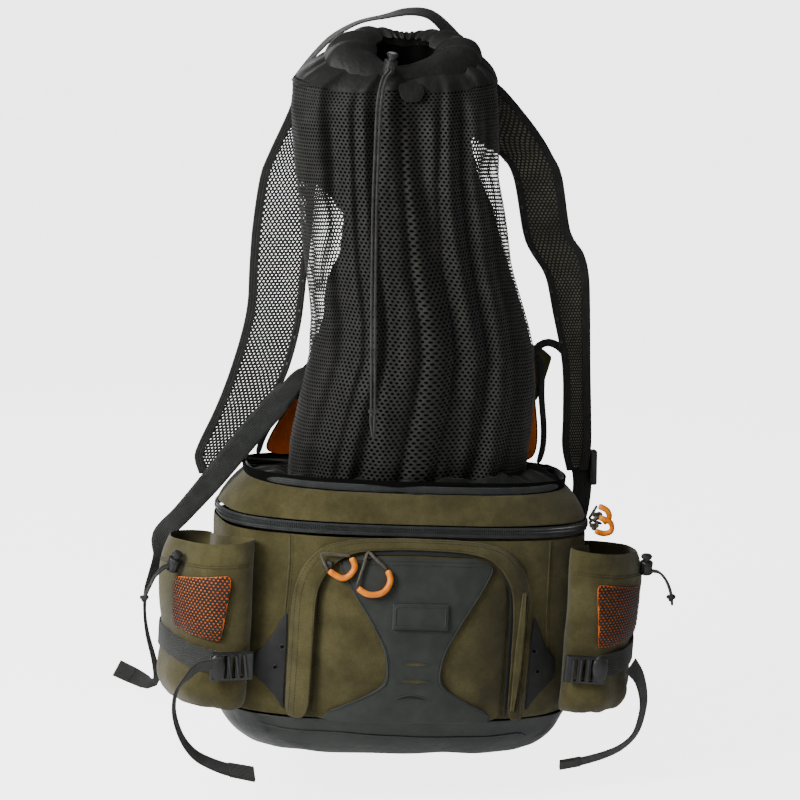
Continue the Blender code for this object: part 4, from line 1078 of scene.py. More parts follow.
def sack_point(turn, z, out=0.0):
    """Places on the sack, in millimetres, at turns round it and heights; arrays of one shape."""
    left, right, front, back, rise = [np.interp(z, SACK_TABLE[:, 0], SACK_TABLE[:, i])
                                      for i in range(1, 6)]
    down = (SACK[0][0] - z) / (SACK[0][0] - SACK[-1][0])
    c, s = np.cos(turn), np.sin(turn)
    u = np.sign(c) * np.abs(c) ** SACK_POWER
    v = np.sign(s) * np.abs(s) ** SACK_POWER
    inward = np.zeros_like(u)
    for a, b, width, depth, side in FOLDS:
        away_from = (u - (a + (b - a) * down)) / width
        deep = depth * np.exp(-away_from ** 2) * np.minimum(1.0, down * 6 + 0.2)
        inward += np.where(s * side > 0, deep, 0.0)
    gather = 1.6 * np.exp(-down * 9.0) * np.cos(turn * 26.0)
    reach = np.where(s > 0, back, -front) + out - inward + gather
    wave = 1.1 * np.sin(z * 0.05 + turn * 3.0) * np.sin(turn * 7.0 + z * 0.013)
    return np.stack([(left + right) / 2 + ((right - left) / 2 + out) * u + wave * u,
                     reach * v + wave * v, z + rise * s], axis=-1)


print("sack at the middle:", np.round(sack_point(np.array([-1.57]), np.array([-260.0])), 1))

# %% A net with real holes
NET_HOLE = 0.53
CELL_ROW, CELL_CORNER = 0.866, 0.5774


def cell_middles(first, low, wide, rise, columns, rows):
    """The middles of rows of six-sided cells, every second row half a cell on."""
    column, row = np.meshgrid(np.arange(columns), np.arange(rows))
    u = first + (column + 0.5 * (row % 2) + 0.25) * wide
    v = low + (row + 0.5) * rise
    return u.ravel(), v.ravel()


def net_cells(name, surface, u, v, size, shares, paint, nodes=()):
    """Yarn round each cell, from one share of the cell's size to another, laid over a surface."""
    turns = np.radians(np.arange(6) * 60.0 + 30.0)
    across, up = [size[0] * np.cos(turns) * CELL_CORNER, size[1] * np.sin(turns) * CELL_CORNER]
    rings = [surface(u[:, None] + across * share, v[:, None] + up * share) for share in shares]
    grid = np.concatenate(rings, axis=1)
    base = np.arange(len(u))[:, None] * 12
    ring = np.arange(6)
    after = (ring + 1) % 6
    faces = np.stack([base + ring, base + after, base + after + 6, base + ring + 6], axis=-1)
    item = mesh_of(name, away(grid.reshape(-1, 3)), faces.reshape(-1, 4))
    print(name, len(u), "cells")
    return dress(item, paint, nodes, angle=80.0)


def net(name, surface, first, last, low, high, pitch, nodes=(), hole=NET_HOLE):
    """Net over a surface of two numbers; pitch is the width of a cell in both numbers."""
    wide, tall = pitch
    columns = max(1, round((last - first) / wide))
    rows = max(1, round((high - low) / (tall * CELL_ROW)))
    wide, rise = (last - first) / columns, (high - low) / rows
    u, v = cell_middles(first, low, wide, rise, columns, rows)
    return net_cells(name, surface, u, v, (wide, rise / CELL_ROW), (1.0, hole), yarn, nodes)


print("net ready, share of a cell that is open:", NET_HOLE)


# %% Net and nylon of the sack
SACK_LOW, SACK_HIGH = -500.0, -60.0
NET_PITCH = 4.5
SACK_ROUND = 2 * (238 + 100) * 0.98
sack_pitch = (2 * math.pi / (SACK_ROUND / NET_PITCH), NET_PITCH)
net("sack_net_front", sack_point, math.pi, 2 * math.pi, SACK_LOW, SACK_HIGH, sack_pitch, ["mesh_sack"])
net("sack_net_back", sack_point, 0.0, math.pi, SACK_LOW, SACK_HIGH, sack_pitch)
# Height, then how far round the plain nylon goes, right and left, as turns; it wraps the flanks.
NYLON_BACK = [(-500.0, -0.4, 3.5), (-350.0, -0.4, 3.5), (-340.0, -0.4, 2.75), (-304.0, -0.2, 2.57),
              (-277.0, 0.08, 2.41), (-255.0, 0.17, 2.21), (-239.0, 0.23, 2.17), (-228.0, 0.27, 2.14),
              (-211.0, 0.33, 2.10), (-190.0, 0.44, 2.26), (-178.0, 0.52, 2.46), (-170.0, 0.58, 3.3),
              (-157.0, 0.63, 3.5), (-135.0, 0.71, 3.5), (-121.0, 0.61, 3.5), (-110.0, 0.44, 3.5),
              (-102.0, -0.3, 3.5), (-56.0, -0.4, 3.5)]
heights = np.linspace(SACK_LOW, -58.0, 110)
table = np.array(NYLON_BACK)
starts, ends = [np.interp(heights, table[:, 0], table[:, i]) for i in (1, 2)]
turns = starts[:, None] + (ends - starts)[:, None] * np.linspace(0.0, 1.0, 90)
# The back nylon takes the painted-shade finish: it is black nylon, painted darker because the inside of
# the sack is in shade.
sheet("sack_nylon_back", sack_point(turns, heights[:, None] + 0.0 * turns, -2.6), inside,
      thick=0.0010, offset=0.0)


# %% The nylon yoke between net and collar
YOKE_FOOT, YOKE_TOP, YOKE_RISE = -66.0, -48.0, 9.0


def yoke_point(turn, share):
    """From the net's upper edge, share 0, up to the collar, share 1, gathered more and more."""
    low = sack_point(turn, YOKE_FOOT + 2.0 * np.sin(turn * 7.0), 1.3)
    high = sack_point(turn, np.full_like(turn, YOKE_TOP), -7.0) + np.array([0.0, 0.0, YOKE_RISE])
    folds = np.cos(turn * 24.0 + 2.0 * np.sin(turn * 3.0)) * 1.5 + np.cos(turn * 11.0) * 1.2
    puffed = 4.0 * np.sin(share * math.pi)[..., None]
    way = np.stack([np.cos(turn), np.sin(turn), 0.0 * turn], axis=-1)
    return low + (high - low) * share[..., None] + way * (puffed + (folds * share)[..., None])


def round_turns(count):
    """Turns all the way round, without the last one, which would be the first again."""
    return np.linspace(0.0, 2 * math.pi, count, endpoint=False)


turns, shares = np.meshgrid(round_turns(300), np.linspace(0.0, 1.0, 14))
sheet("sack_yoke", yoke_point(turns, shares), nylon, thick=0.0008, close=True)
# A near-black sheet of painted shade inside the sack's mouth, so the drawn mouth shows a dark hole.
turns, heights = np.meshgrid(round_turns(160), np.linspace(-106.0, -47.0, 10))
sheet("sack_throat_shade", sack_point(turns, heights, -2.8), inside, close=True)
print("nylon back and yoke ready")

# %% [markdown]
# ### Collar, skirt and tab
#
# The mouth is drawn together: black nylon gathered on its cord into lobes round a dark hole. The
# gathers are one wave round the ring, strong at the hem and gone where the net begins. A nylon skirt
# joins the sack's foot to the rim of the body, and a doubled tab with two rows of stitches hangs at
# the collar's front beside the cord lock.

# %% Collar
COLLAR_MIDDLE, GATHER_FOOT, GATHER_TALL = np.array([6.0, 0.0]), -45.0, 18.0


def gathered(points):
    """A change for reshape that draws the collar into lobes, more and more towards its hem."""
    flat = points[:, :2] - COLLAR_MIDDLE
    turn = np.arctan2(flat[:, 1], flat[:, 0])
    reach = np.linalg.norm(flat, axis=1)
    strong = np.clip((points[:, 2] - GATHER_FOOT) / GATHER_TALL, 0.0, 1.0)
    wave = np.cos(turn * 23.0 + 1.3 * np.sin(turn * 3.0)) * 1.5 + np.cos(turn * 9.0 + 0.8) * 1.8
    way = flat / np.maximum(reach, 1.0)[:, None]
    moved = points.copy()
    moved[:, :2] += way * (wave * strong)[:, None]
    moved[:, 2] += np.cos(turn * 23.0 + 0.6) * 0.9 * strong
    return moved


collar = cloth("sack_collar", "sack_collar_cloth", 3, nylon, gathered)
print("collar faces:", len(collar.data.polygons))

# %% Skirt, and a liner of painted shade inside the rim
RIM_INSIDE, FOOT_HEIGHT = -502.0, -495.0
band_tree = tree_of(upper_band)
rim_inside = []
for turn in round_turns(260):
    middle, outside = ring_ray(turn, RIM_INSIDE)
    hit, _, _, _ = band_tree.ray_cast(Vector(middle), Vector(outside - middle).normalized())
    rim_inside.append(np.array(hit) / MM + HOOK)
rim_inside = np.array(rim_inside)
turns = np.arctan2(rim_inside[:, 1] / 0.7, rim_inside[:, 0] - 8.0)
foot = sack_point(turns, np.full_like(turns, FOOT_HEIGHT), -1.0)
shares = np.linspace(0.0, 1.0, 16)
lobes = 4.2 * np.cos(turns * 15.0 + 1.5 * np.sin(turns * 4.0)) + 2.0 * np.cos(turns * 31.0)
hump = np.sin(shares ** 0.6 * math.pi)
skirt = foot[None] + (rim_inside - foot)[None] * shares[:, None, None]
skirt[:, :, 2] += hump[:, None] * (5.0 + lobes[None] * (1.0 - 0.5 * shares[:, None]))
sheet("sack_skirt_cloth", skirt, nylon, thick=0.0010, nodes=["sack_skirt"], close=True)
# Height, and how wide the liner is as a share of the rim. The liner is a near-black sheet of painted
# shade inside the open body.
SHADE_LINER_ROWS = [(-487.0, 0.985), (-500.0, 0.975), (-520.0, 0.975), (-545.0, 0.97)]
middle = rim_inside.mean(axis=0)
shade_liner = [middle + (rim_inside - middle) * share + np.array([0.0, 0.0, z - RIM_INSIDE])
         for z, share in SHADE_LINER_ROWS]
sheet("body_shade_liner", np.array(shade_liner), inside, thick=0.0008, offset=0.0, close=True)
print("skirt and liner laid round", len(rim_inside), "points of the rim")

# %% Tab
tab_tree = tree_of(cloth("collar_tab", "collar_tab_cloth", 2, nylon))
TAB_LINE = [(-9.5, -67.5), (-9.5, -74.0), (-8.0, -81.0), (-3.0, -85.0), (4.0, -86.0), (11.0, -85.0),
            (16.0, -81.0), (17.5, -74.0), (17.5, -67.5)]
stitches("tab_stitches", tab_tree, [TAB_LINE, [(4 + (x - 4) * 0.72, z + 2.6) for x, z in TAB_LINE]],
         pitch=3.0, paint=dark_thread, upright=False)
print("tab stitched")

# %% [markdown]
# ## Shoulder straps
#
# Each strap is two layers of spacer net between folded bindings, with small round tacks along the
# inner binding. The nets have the same cut-through cells as the sack, smaller.

# %% Strap nets and bindings
# Height, outer edge, inner edge and depth.
STRAPS = {
    "left": [(-70.0, -110.0, -82.0, 44.0), (-94.0, -112.0, -82.0, 44.0), (-146.0, -136.5, -85.0, 43.0),
             (-171.0, -146.5, -86.0, 41.0), (-223.0, -155.5, -90.0, 38.0),
             (-268.0, -160.0, -96.0, 34.0), (-305.0, -163.0, -101.0, 28.0),
             (-337.0, -170.5, -107.0, 22.0), (-380.0, -185.5, -121.0, 14.0),
             (-418.0, -202.0, -141.0, 8.0), (-455.0, -221.0, -163.0, 4.0),
             (-470.0, -225.5, -176.0, 2.0), (-487.0, -221.0, -190.0, 0.0)],
    "right": [(-64.0, 104.0, 76.0, 44.0), (-80.0, 124.0, 78.0, 44.0), (-110.0, 150.0, 84.0, 44.0),
              (-133.0, 167.0, 92.0, 43.0), (-152.0, 178.0, 119.0, 42.0), (-176.0, 189.0, 134.0, 41.0),
              (-237.0, 199.0, 145.0, 39.0), (-259.0, 213.0, 154.0, 38.0), (-285.0, 220.0, 170.0, 37.0),
              (-325.0, 222.0, 179.0, 37.0), (-385.0, 223.5, 191.0, 38.0), (-442.0, 225.5, 193.0, 39.0),
              (-480.0, 226.5, 193.0, 41.0), (-508.0, 223.0, 199.0, 43.0)],
}

STRAP_THICK, LAYER_DEPTH, CORE_DEPTH = 5.0, 1.9, 0.6
STRAP_NET_PITCH = 3.7
STRAP_HOLE = {"left": 0.46, "right": 0.60}
BINDINGS = {"outer": 10.0, "inner": 8.0}
dim_core = plain_finish(
    "strap_core", [(0.20, 0.19, 0.13), (0.30, 0.285, 0.20), (0.42, 0.40, 0.28)],
    0.9, 22.0, 900.0, 0.5, sheen=0.2, specular=0.2)


def strap_at(side, z):
    """The outer edge, inner edge and depth of a strap at some heights."""
    table = np.array(STRAPS[side])[::-1]
    return [np.interp(z, table[:, 0], table[:, i]) for i in (1, 2, 3)]


def strap_surface(side, depth):
    """Places over a strap: u is a share of its width from the outer edge, v a height."""
    def surface(u, v):
        outer, inner, y = strap_at(side, v)
        return np.stack([outer + (inner - outer) * u, y + depth + 0.0 * u, v + 0.0 * u], axis=-1)
    return surface


for side in SIDES:
    table = np.array(STRAPS[side])
    low, high = table[-1, 0] + 3.0, table[0, 0] - 3.0
    mean_width = float(np.abs(table[:, 1] - table[:, 2]).mean())
    for depth, part in ((-LAYER_DEPTH, "front"), (LAYER_DEPTH, "back")):
        net("shoulder_strap_net_%s_%s" % (side, part), strap_surface(side, depth), 0.04, 0.93, low, high,
            (STRAP_NET_PITCH / mean_width, STRAP_NET_PITCH),
            ["shoulder_strap_" + side] if part == "front" else (), STRAP_HOLE[side])
    if side == "right":
        u, v = np.meshgrid(np.linspace(0.06, 0.94, 8), np.linspace(low, high, 90))
        sheet("shoulder_strap_core_right", strap_surface(side, CORE_DEPTH)(u, v), dim_core,
              thick=0.0008, offset=0.0)
    z, outer, inner, depth = smooth_rows(table, 8.0).T
    for edge, width in BINDINGS.items():
        x, way = (outer, 1) if edge == "outer" else (inner, -1)
        centres = np.stack([x + np.sign(inner - outer) * way * width / 2, depth, z], axis=-1)
        across = np.zeros_like(centres)
        across[:, 0] = width
        loft_band("strap_binding_%s_%s" % (side, edge), centres, across, STRAP_THICK + 1.4, binding)
print("straps ready")

# %% Tacks along the straps
TACKS = {"left": [-203.0, -229.0, -256.0, -284.0, -316.0, -344.0, -372.0, -397.0],
         "right": [-134.0, -156.0, -181.0, -208.0, -235.0, -259.0, -279.0, -302.0, -333.0, -359.0]}
TACK = bar(4.6, 4.6, 1.4, 0.5)
TACK_INSET, TACK_LIFT = 3.0, 0.7
for side, heights in TACKS.items():
    frames = []
    for z in heights:
        outer, inner, y = [float(value) for value in strap_at(side, z)]
        x = inner + math.copysign(TACK_INSET, outer - inner)
        place = away((x, y - STRAP_THICK / 2 - TACK_LIFT, z))
        frames.append((place, np.array([1.0, 0, 0]), np.array([0, 0, 1.0]), np.array([0, -1.0, 0])))
    repeat("strap_tacks_" + side, TACK, frames, plastic)
print("tacks set")

# %% [markdown]
# ## Webbing
#
# Every strap of webbing is one band with a low rib at each selvedge. The tables give its middle, how
# far its width is turned towards the depth, and its width; free ends are folded over.

# %% Handle, strap webbing and tails
# In all of these: x, depth, height, turn in degrees and width.
WEB_THICK, FOLD_THICK = 1.8, 4.4
HANDLE = [
    (-109.5, 43.4, -68.9, 8.0, 14.0), (-101.0, 43.0, -58.0, 8.0, 16.0), (-84.0, 42.0, -38.0, 8.0, 18.0),
    (-65.0, 41.0, -20.6, 8.0, 20.0), (-38.0, 40.0, -6.3, 6.0, 20.0), (-8.4, 40.0, -0.1, 10.0, 20.0),
    (7.3, 40.0, 3.5, 18.0, 20.0), (18.3, 40.0, 4.8, 22.0, 20.0), (33.4, 40.0, 3.6, 30.0, 20.0),
    (47.2, 41.0, -3.2, 40.0, 20.0), (66.0, 43.0, -22.0, 52.0, 20.0), (84.0, 46.5, -42.0, 56.0, 17.0),
    (98.0, 48.7, -59.1, 58.0, 14.0),
]
WEB_LEFT = [
    (-122.0, 3.5, -399.0, 0.0, 25.0), (-135.0, 2.0, -413.0, 0.0, 27.0), (-168.0, 0.6, -449.0, 0.0, 27.0),
    (-208.0, -5.4, -494.0, 0.0, 25.0), (-238.0, 10.0, -532.0, 0.0, 22.0),
    (-259.5, 31.0, -561.0, 0.0, 22.0), (-260.0, 33.0, -583.0, 20.0, 22.0),
    (-269.0, 34.0, -604.0, 50.0, 22.0), (-277.0, 36.0, -622.0, 70.0, 22.0),
    (-280.0, 37.0, -645.0, 80.0, 22.0), (-278.0, 37.0, -672.0, 80.0, 22.0),
    (-271.0, 37.0, -704.0, 76.0, 22.0), (-268.0, 38.0, -726.0, 60.0, 22.0),
    (-277.0, 38.0, -731.0, 30.0, 20.0), (-294.0, 38.0, -722.0, 10.0, 20.0),
    (-312.0, 38.0, -712.0, 0.0, 20.0),
]
WEB_RIGHT = [
    (214.0, 51.4, -490.0, 0.0, 22.0), (219.6, 51.5, -524.0, 0.0, 22.0), (216.0, 54.0, -560.0, -6.0, 22.0),
    (204.0, 57.5, -600.0, -16.0, 22.0), (189.0, 58.5, -638.0, -30.0, 22.0),
    (176.8, 56.9, -664.0, -39.0, 22.0),
]
TAIL_LEFT = [
    (-218.4, -124.4, -664.4, 40.0, 22.0), (-236.0, -132.0, -664.0, 48.0, 22.0),
    (-249.0, -132.0, -676.0, 62.0, 22.0), (-259.0, -128.0, -690.0, 72.0, 22.0),
    (-262.0, -124.0, -709.0, 76.0, 22.0), (-259.5, -120.0, -728.0, 78.0, 22.0),
    (-252.5, -116.0, -748.0, 78.0, 22.0), (-242.0, -112.0, -764.0, 76.0, 22.0),
    (-229.0, -108.0, -775.0, 74.0, 22.0), (-206.0, -104.0, -787.0, 70.0, 22.0),
    (-176.0, -100.0, -796.0, 66.0, 22.0),
]
TAIL_RIGHT = [
    (238.0, -100.0, -697.0, 30.0, 22.0), (248.0, -97.0, -711.0, 44.0, 22.0),
    (256.0, -88.0, -734.0, 50.0, 22.0), (258.0, -80.0, -756.0, 52.0, 22.0),
    (253.0, -72.0, -783.0, 52.0, 22.0), (240.0, -66.0, -800.0, 50.0, 22.0),
    (222.0, -62.0, -810.0, 48.0, 22.0), (196.0, -60.0, -817.0, 46.0, 22.0),
    (170.0, -58.0, -821.0, 46.0, 22.0),
]
LOOP_LEFT = [
    (-133.0, 0.0, -412.0, 0.0, 20.0), (-118.0, 3.0, -394.0, 0.0, 20.0),
    (-106.0, 10.0, -386.0, 20.0, 20.0), (-97.0, 22.0, -388.0, 50.0, 20.0),
    (-94.0, 36.0, -400.0, 70.0, 20.0), (-94.0, 50.0, -418.0, 80.0, 20.0),
]
handle_rows = [(x, y, z, 90.0 - turn, width) for x, y, z, turn, width in HANDLE]
band("grab_handle_web", handle_rows, WEB_THICK, binding, ["grab_handle"])
for name, rows, node in (("strap_web_left", WEB_LEFT, "strap_webbing_left"),
                         ("strap_web_right", WEB_RIGHT, "strap_webbing_right"),
                         ("tail_web_left", TAIL_LEFT, "side_tail_left"),
                         ("tail_web_right", TAIL_RIGHT, "side_tail_right")):
    band(name, rows, WEB_THICK, webbing, [node])
for name, rows in (("tail_left", TAIL_LEFT), ("tail_right", TAIL_RIGHT), ("strap_left", WEB_LEFT)):
    last, before = np.array(rows[-1]), np.array(rows[-2])
    fold = [before + (last - before) * share for share in (0.1, 0.55, 1.0)]
    band(name + "_fold", fold, FOLD_THICK, webbing)
band("strap_loop_left", LOOP_LEFT, WEB_THICK, webbing)
print("webbing laid")

# %% [markdown]
# ## The open lid and the rim
#
# The lid stands open behind the sack. Its outside is olive; its lining is orange below and olive
# near the top, with a stitched hem along the sides. Half of the closing zip runs round the lid's
# edge and the other half round the rim of the body. Both are tapes, and the rim's has its row of coil.

# %% Lid
LID_FOOT, LID_TOP, LID_DRAWN_IN = -489.0, -376.0, 0.34


def lid_shape(points):
    """Soft waves, and the left edge drawn in towards the top, as the strap's webbing holds it."""
    moved = points + np.array([0.0, 1.0, 0.0]) * ripple(points, 60.0, 21)[:, None]
    rise = np.clip((points[:, 2] - LID_FOOT) / (LID_TOP - LID_FOOT), 0.0, 1.0)
    moved[:, 0] *= np.where(points[:, 0] < 0.0, 1.0 - LID_DRAWN_IN * rise, 1.0)
    return moved


lid = cloth("lid_outer", "lid_cloth", 3, olive, lid_shape)
lid_lining = cloth("lid_lining", "lid_lining_cloth", 3, lining, lid_shape)
cloth("lid_zip", "lid_zip_tape", 2, level_tape, lid_shape)
rim_tape = cloth("rim_zip", "rim_zip_tape", 2, level_tape)
HEM_SIDES = [[(-148.0, -478.0), (-152.0, -440.0), (-146.0, -405.0)],
             [(147.0, -470.0), (150.0, -440.0), (146.0, -400.0), (142.0, -382.0)]]
stitches("lid_hem_stitches", tree_of(lid_lining), HEM_SIDES, pitch=3.2, paint=dark_thread)
print("lid faces:", len(lid.data.polygons))

# %% Olive facing at the top of the lid, and its flap
FACING_LEFT, FACING_RIGHT = -418.0, -424.0
lid_lining.data.materials.append(olive)
for face in lid_lining.data.polygons:
    x, y, z = np.array(face.center) / MM + HOOK
    if z > (FACING_RIGHT if x > 0 else FACING_LEFT):
        face.material_index = 1
# Height and outer edge of the flap, from its foot up; its inner edge stays behind the lid.
FLAP_RIGHT = np.array([(-429.0, 166.0), (-420.0, 171.0), (-406.0, 175.5), (-392.0, 180.0),
                       (-380.0, 183.5), (-373.0, 176.0), (-366.0, 166.0)])
FLAP_INNER, FLAP_DEPTH = 130.0, 58.0
shares, heights = np.meshgrid(np.linspace(0.0, 1.0, 8), np.linspace(-429.0, -366.0, 20))
edge = np.interp(heights, FLAP_RIGHT[:, 0], FLAP_RIGHT[:, 1])
across = FLAP_INNER + (edge - FLAP_INNER) * shares
places = np.stack([across, FLAP_DEPTH - 2.0 * shares, heights], axis=-1)
sheet("lid_flap_right", places, olive, thick=0.0016, offset=0.0)
LID_LOOP = [(160.0, 54.0, -376.0, 0.0, 9.0), (168.0, 52.0, -366.0, 0.0, 9.0),
            (178.0, 48.0, -362.0, 0.0, 9.0), (188.0, 43.0, -366.0, 0.0, 9.0),
            (194.0, 41.0, -372.0, 0.0, 9.0)]
band("lid_loop_right", LID_LOOP, 1.6, webbing)
print("facing, flap and loop laid")

# %% Coil of the rim's zip
RIM_HEIGHT, RIM_FIRST, RIM_LAST = -487.6, -206.0, 26.0
rim_rows = ring_rows(tree_of(rim_tape), RIM_HEIGHT, 420, RIM_FIRST, RIM_LAST)
rim_frames = turned(frames_along(rim_rows, COIL_PITCH))
repeat("rim_zip_coil", bar(3.2, 1.1, 1.1), rim_frames, coil)
print("rim coil turns:", len(rim_frames))

# %% [markdown]
# ## Bottle pockets
#
# Each side pocket is a pouch of the olive cloth with a deep hem sewn down by a double row, and a
# window of orange cloth under black net. The cloth falls in soft folds below the strap.

# %% Pockets
SAG_TOP, SAG_REACH, SAG_SEEDS = -664.0, 18.0, {"left": 31, "right": 37}


def sagging(side):
    """A change for reshape: soft waves round a pocket, with more of them below its strap."""
    middle = sum(drawn_box("side_pocket_" + side)) / 2

    def change(points):
        away_from = (points - middle)[:, :2]
        flat = away_from / np.maximum(np.linalg.norm(away_from, axis=1, keepdims=True), 1.0)
        wave = 1.5 * ripple(points * np.array([1.0, 1.0, 0.6]), 55.0, SAG_SEEDS[side])
        low = np.clip((SAG_TOP - points[:, 2]) / SAG_REACH, 0.0, 1.0)
        wave = wave + low * 1.8 * np.sin(points[:, 0] * 0.11 + points[:, 1] * 0.09 + 1.0)
        moved = points.copy()
        moved[:, :2] += flat * wave[:, None]
        return moved
    return change


pockets = {}
for side in SIDES:
    pockets[side] = cloth("side_pocket_" + side, "side_pocket_cloth_" + side, 2, olive,
                          sagging(side))
pocket_trees = {side: tree_of(item) for side, item in pockets.items()}
print("pockets:", list(pockets))


# %% Lines round a pocket
POCKET_HUB_X, POCKET_HUB_Y, POCKET_REACH = 214.0, -30.0, 160.0
HEM_FIRST, HEM_LAST = -28.0, 120.0


def pocket_ray(side, degrees, height):
    """Where a ray starts outside a pocket, at a turn from its front, and its way in."""
    turn, sign = math.radians(degrees), SIDES[side]
    hub = np.array([POCKET_HUB_X * sign, POCKET_HUB_Y, height])
    way = np.array([math.sin(turn) * sign, -math.cos(turn), 0.0])
    start = away(leaned(hub + way * POCKET_REACH))
    return start, Vector(away(leaned(hub)) - start).normalized()


def pocket_rows(side, first_height, last_height, lift=0.0, count=60):
    """Rows of (place, normal) round a pocket's hem, from its front seam to its back."""
    out = []
    for share in np.linspace(0.0, 1.0, count):
        start, inward = pocket_ray(side, HEM_FIRST + (HEM_LAST - HEM_FIRST) * share,
                                   first_height + (last_height - first_height) * share)
        meet(pocket_trees[side], start, inward, lift, out)
    return out


for side in SIDES:
    frames = []
    for drop in (0.0, 2.6):
        frames += frames_along(pocket_rows(side, -576.0 - drop, -592.0 - drop, 0.1), 3.4)
    repeat("pocket_hem_stitches_" + side, STITCH, frames, thread)
    cord_along("pocket_hem_edge_" + side, pocket_rows(side, -577.5, -593.5, -0.2), 0.55, olive)
print("hems stitched")

# %% Windows
WINDOW_PITCH, WINDOW_RADIUS, WINDOW_LIFT = 3.6, 66.0, 0.8
WINDOW_TURNS, WINDOW_HEIGHTS = (-40.0, 150.0), (-700.0, -560.0)


def window_surface(side, tree):
    """Places over a window, at turns in degrees and heights, and which of them met its cloth."""
    def surface(u, v):
        out, met = np.empty(u.shape + (3,)), np.zeros(u.shape, bool)
        for spot in np.ndindex(u.shape):
            start, inward = pocket_ray(side, u[spot], v[spot])
            hit, _, _, _ = tree.ray_cast(Vector(start), inward)
            met[spot] = hit is not None
            if hit is None:
                near, _, _, _ = pocket_trees[side].ray_cast(Vector(start), inward)
                hit, _, _, _ = tree.find_nearest(near if near is not None else Vector(start))
            out[spot] = (np.array(hit) - np.array(inward) * WINDOW_LIFT * MM) / MM + HOOK
        return out, met
    return surface


for side in SIDES:
    window = window_surface(side, tree_of(cloth("pocket_window_" + side, "pocket_window_cloth_" + side, 2,
                                                lining)))
    wide, rise = math.degrees(WINDOW_PITCH / WINDOW_RADIUS), WINDOW_PITCH * CELL_ROW
    columns = round((WINDOW_TURNS[1] - WINDOW_TURNS[0]) / wide)
    rows = round((WINDOW_HEIGHTS[1] - WINDOW_HEIGHTS[0]) / rise)
    u, v = cell_middles(WINDOW_TURNS[0], WINDOW_HEIGHTS[0], wide, rise, columns, rows)
    met = window(u, v)[1]
    net_cells("pocket_window_net_" + side, lambda a, b, window=window: window(a, b)[0], u[met], v[met],
              (wide, WINDOW_PITCH), (1.25, 0.50), yarn)

# %% [markdown]
# ## Wings, side straps and buckles
#
# A rubbery wing is sewn in beside each leg of the arch; the side strap's buckle hangs on it. Each
# wing has two eyelets. The strap goes through the buckle's bars, round the pocket and back to the
# body. The buckles' own solids stay; a rounded lobe and turned bars are added to them.

# %% Wings with eyelets
rubber = plain_finish(
    "wing_rubber", [(0.011, 0.012, 0.011), (0.016, 0.017, 0.016), (0.022, 0.023, 0.021)],
    0.55, 40.0, 1700.0, 0.2, specular=0.35)
EYELETS = [(137.5, -667.0), (143.5, -690.0)]
for side, sign in SIDES.items():
    wing = cloth("wing_" + side, "wing_rubber_" + side, 2, rubber)
    rows = on_front(tree_of(wing), [(x * sign, z) for x, z in EYELETS], 0.1)
    for number, (spot, normal) in enumerate(rows):
        turn, label = facing(normal), "%s_%d" % (side, number + 1)
        bpy.ops.mesh.primitive_torus_add(major_radius=0.0024, minor_radius=0.0006, major_segments=24,
                                         minor_segments=8, location=spot, rotation=turn)
        dress(settle("wing_eyelet_" + label), plastic)
        # A near-black disc of painted shade sits in each eyelet's hole.
        bpy.ops.mesh.primitive_cylinder_add(vertices=20, radius=0.0022, depth=0.0009, location=spot,
                                            rotation=turn)
        dress(settle("wing_eyelet_hole_shade_" + label), inside)
print("eyelets:", len(EYELETS) * 2)

# %% Side straps
def bevelled_strap(node, name, width):
    """A strap's solid with its edges rounded, as level webbing."""
    strap = take(node, name, 0)
    step(strap, "BEVEL", width=width, segments=2, limit_method="ANGLE")
    return dress(strap, level_webbing, [node])


for side in SIDES:
    bevelled_strap("side_strap_" + side, "side_strap_web_" + side, 0.0006)
print("side straps ready")

# %% [markdown]
# ### Small hard pieces
#
# Buckles, cord locks and zip sliders are moulded plastic. Their solids are right and stay; what a
# mould adds is modelled here: the buckle's rounded lobe and raised bars, the ribs round a lock's
# barrel, and the dome of its button.

# %% Plastic for the hard solids
for name in ("side_buckle_left", "side_buckle_right", "strap_lock_right", "belt_buckle_female",
             "belt_buckle_male", "sack_lock", "sack_button", "pocket_left_lock", "pocket_left_button",
             "pocket_right_lock", "pocket_right_button"):
    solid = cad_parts[name]
    solid.data.materials.clear()
    solid.data.materials.append(plastic)
print("solids in plastic")

# %% Buckle bars and lobes
# How far the bars lie from the buckle's middle, and half their length; then the lobe's place and size.
BARS, BAR_HALF, BAR_SLANT, BAR_RADIUS = (-15.5, -6.5, 2.5, 11.5), 12.5, 0.09, 1.9
LOBE_SHIFT, LOBE_SINK, LOBE_SIZE = 15.0, -1.6, (0.0088, 0.0152, 0.0046)
for side, sign in SIDES.items():
    tree = tree_of(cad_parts["side_buckle_" + side])
    centre = sum(drawn_box("side_buckle_" + side)) / 2
    for number, shift in enumerate(BARS):
        x = centre[0] + shift * sign * 0.93
        spots = [(x + dz * BAR_SLANT * sign, centre[2] + dz)
                 for dz in np.linspace(-BAR_HALF, BAR_HALF, 9)]
        rows = [row for row in on_front(tree, spots, 0.0, upright=False) if abs(row[1][1]) > 0.5]
        if len(rows) > 3:
            cord_along("buckle_bar_%s_%d" % (side, number + 1), rows, BAR_RADIUS, plastic)
    lobe_spot = (centre[0] + LOBE_SHIFT * sign, centre[2])
    spot, normal = on_front(tree, [lobe_spot], LOBE_SINK, upright=False)[0]
    bpy.ops.mesh.primitive_uv_sphere_add(segments=32, ring_count=20, radius=1.0, location=spot,
                                         rotation=facing(normal), scale=LOBE_SIZE)
    dress(settle("buckle_lobe_" + side), plastic)
print("buckles finished")


# %% Ribs and domes of the cord locks
def ring_at(name, centre, axis, height, radius, body="pack"):
    """A thin ring round an axis, at a height along it, in millimetres."""
    spot = away(np.asarray(centre) + unit(axis) * height)
    bpy.ops.mesh.primitive_torus_add(major_radius=radius * MM, minor_radius=RING_THIN * MM,
                                     major_segments=32, minor_segments=8, location=spot,
                                     rotation=facing(unit(axis)))
    return dress(settle(name), plastic, body=body)


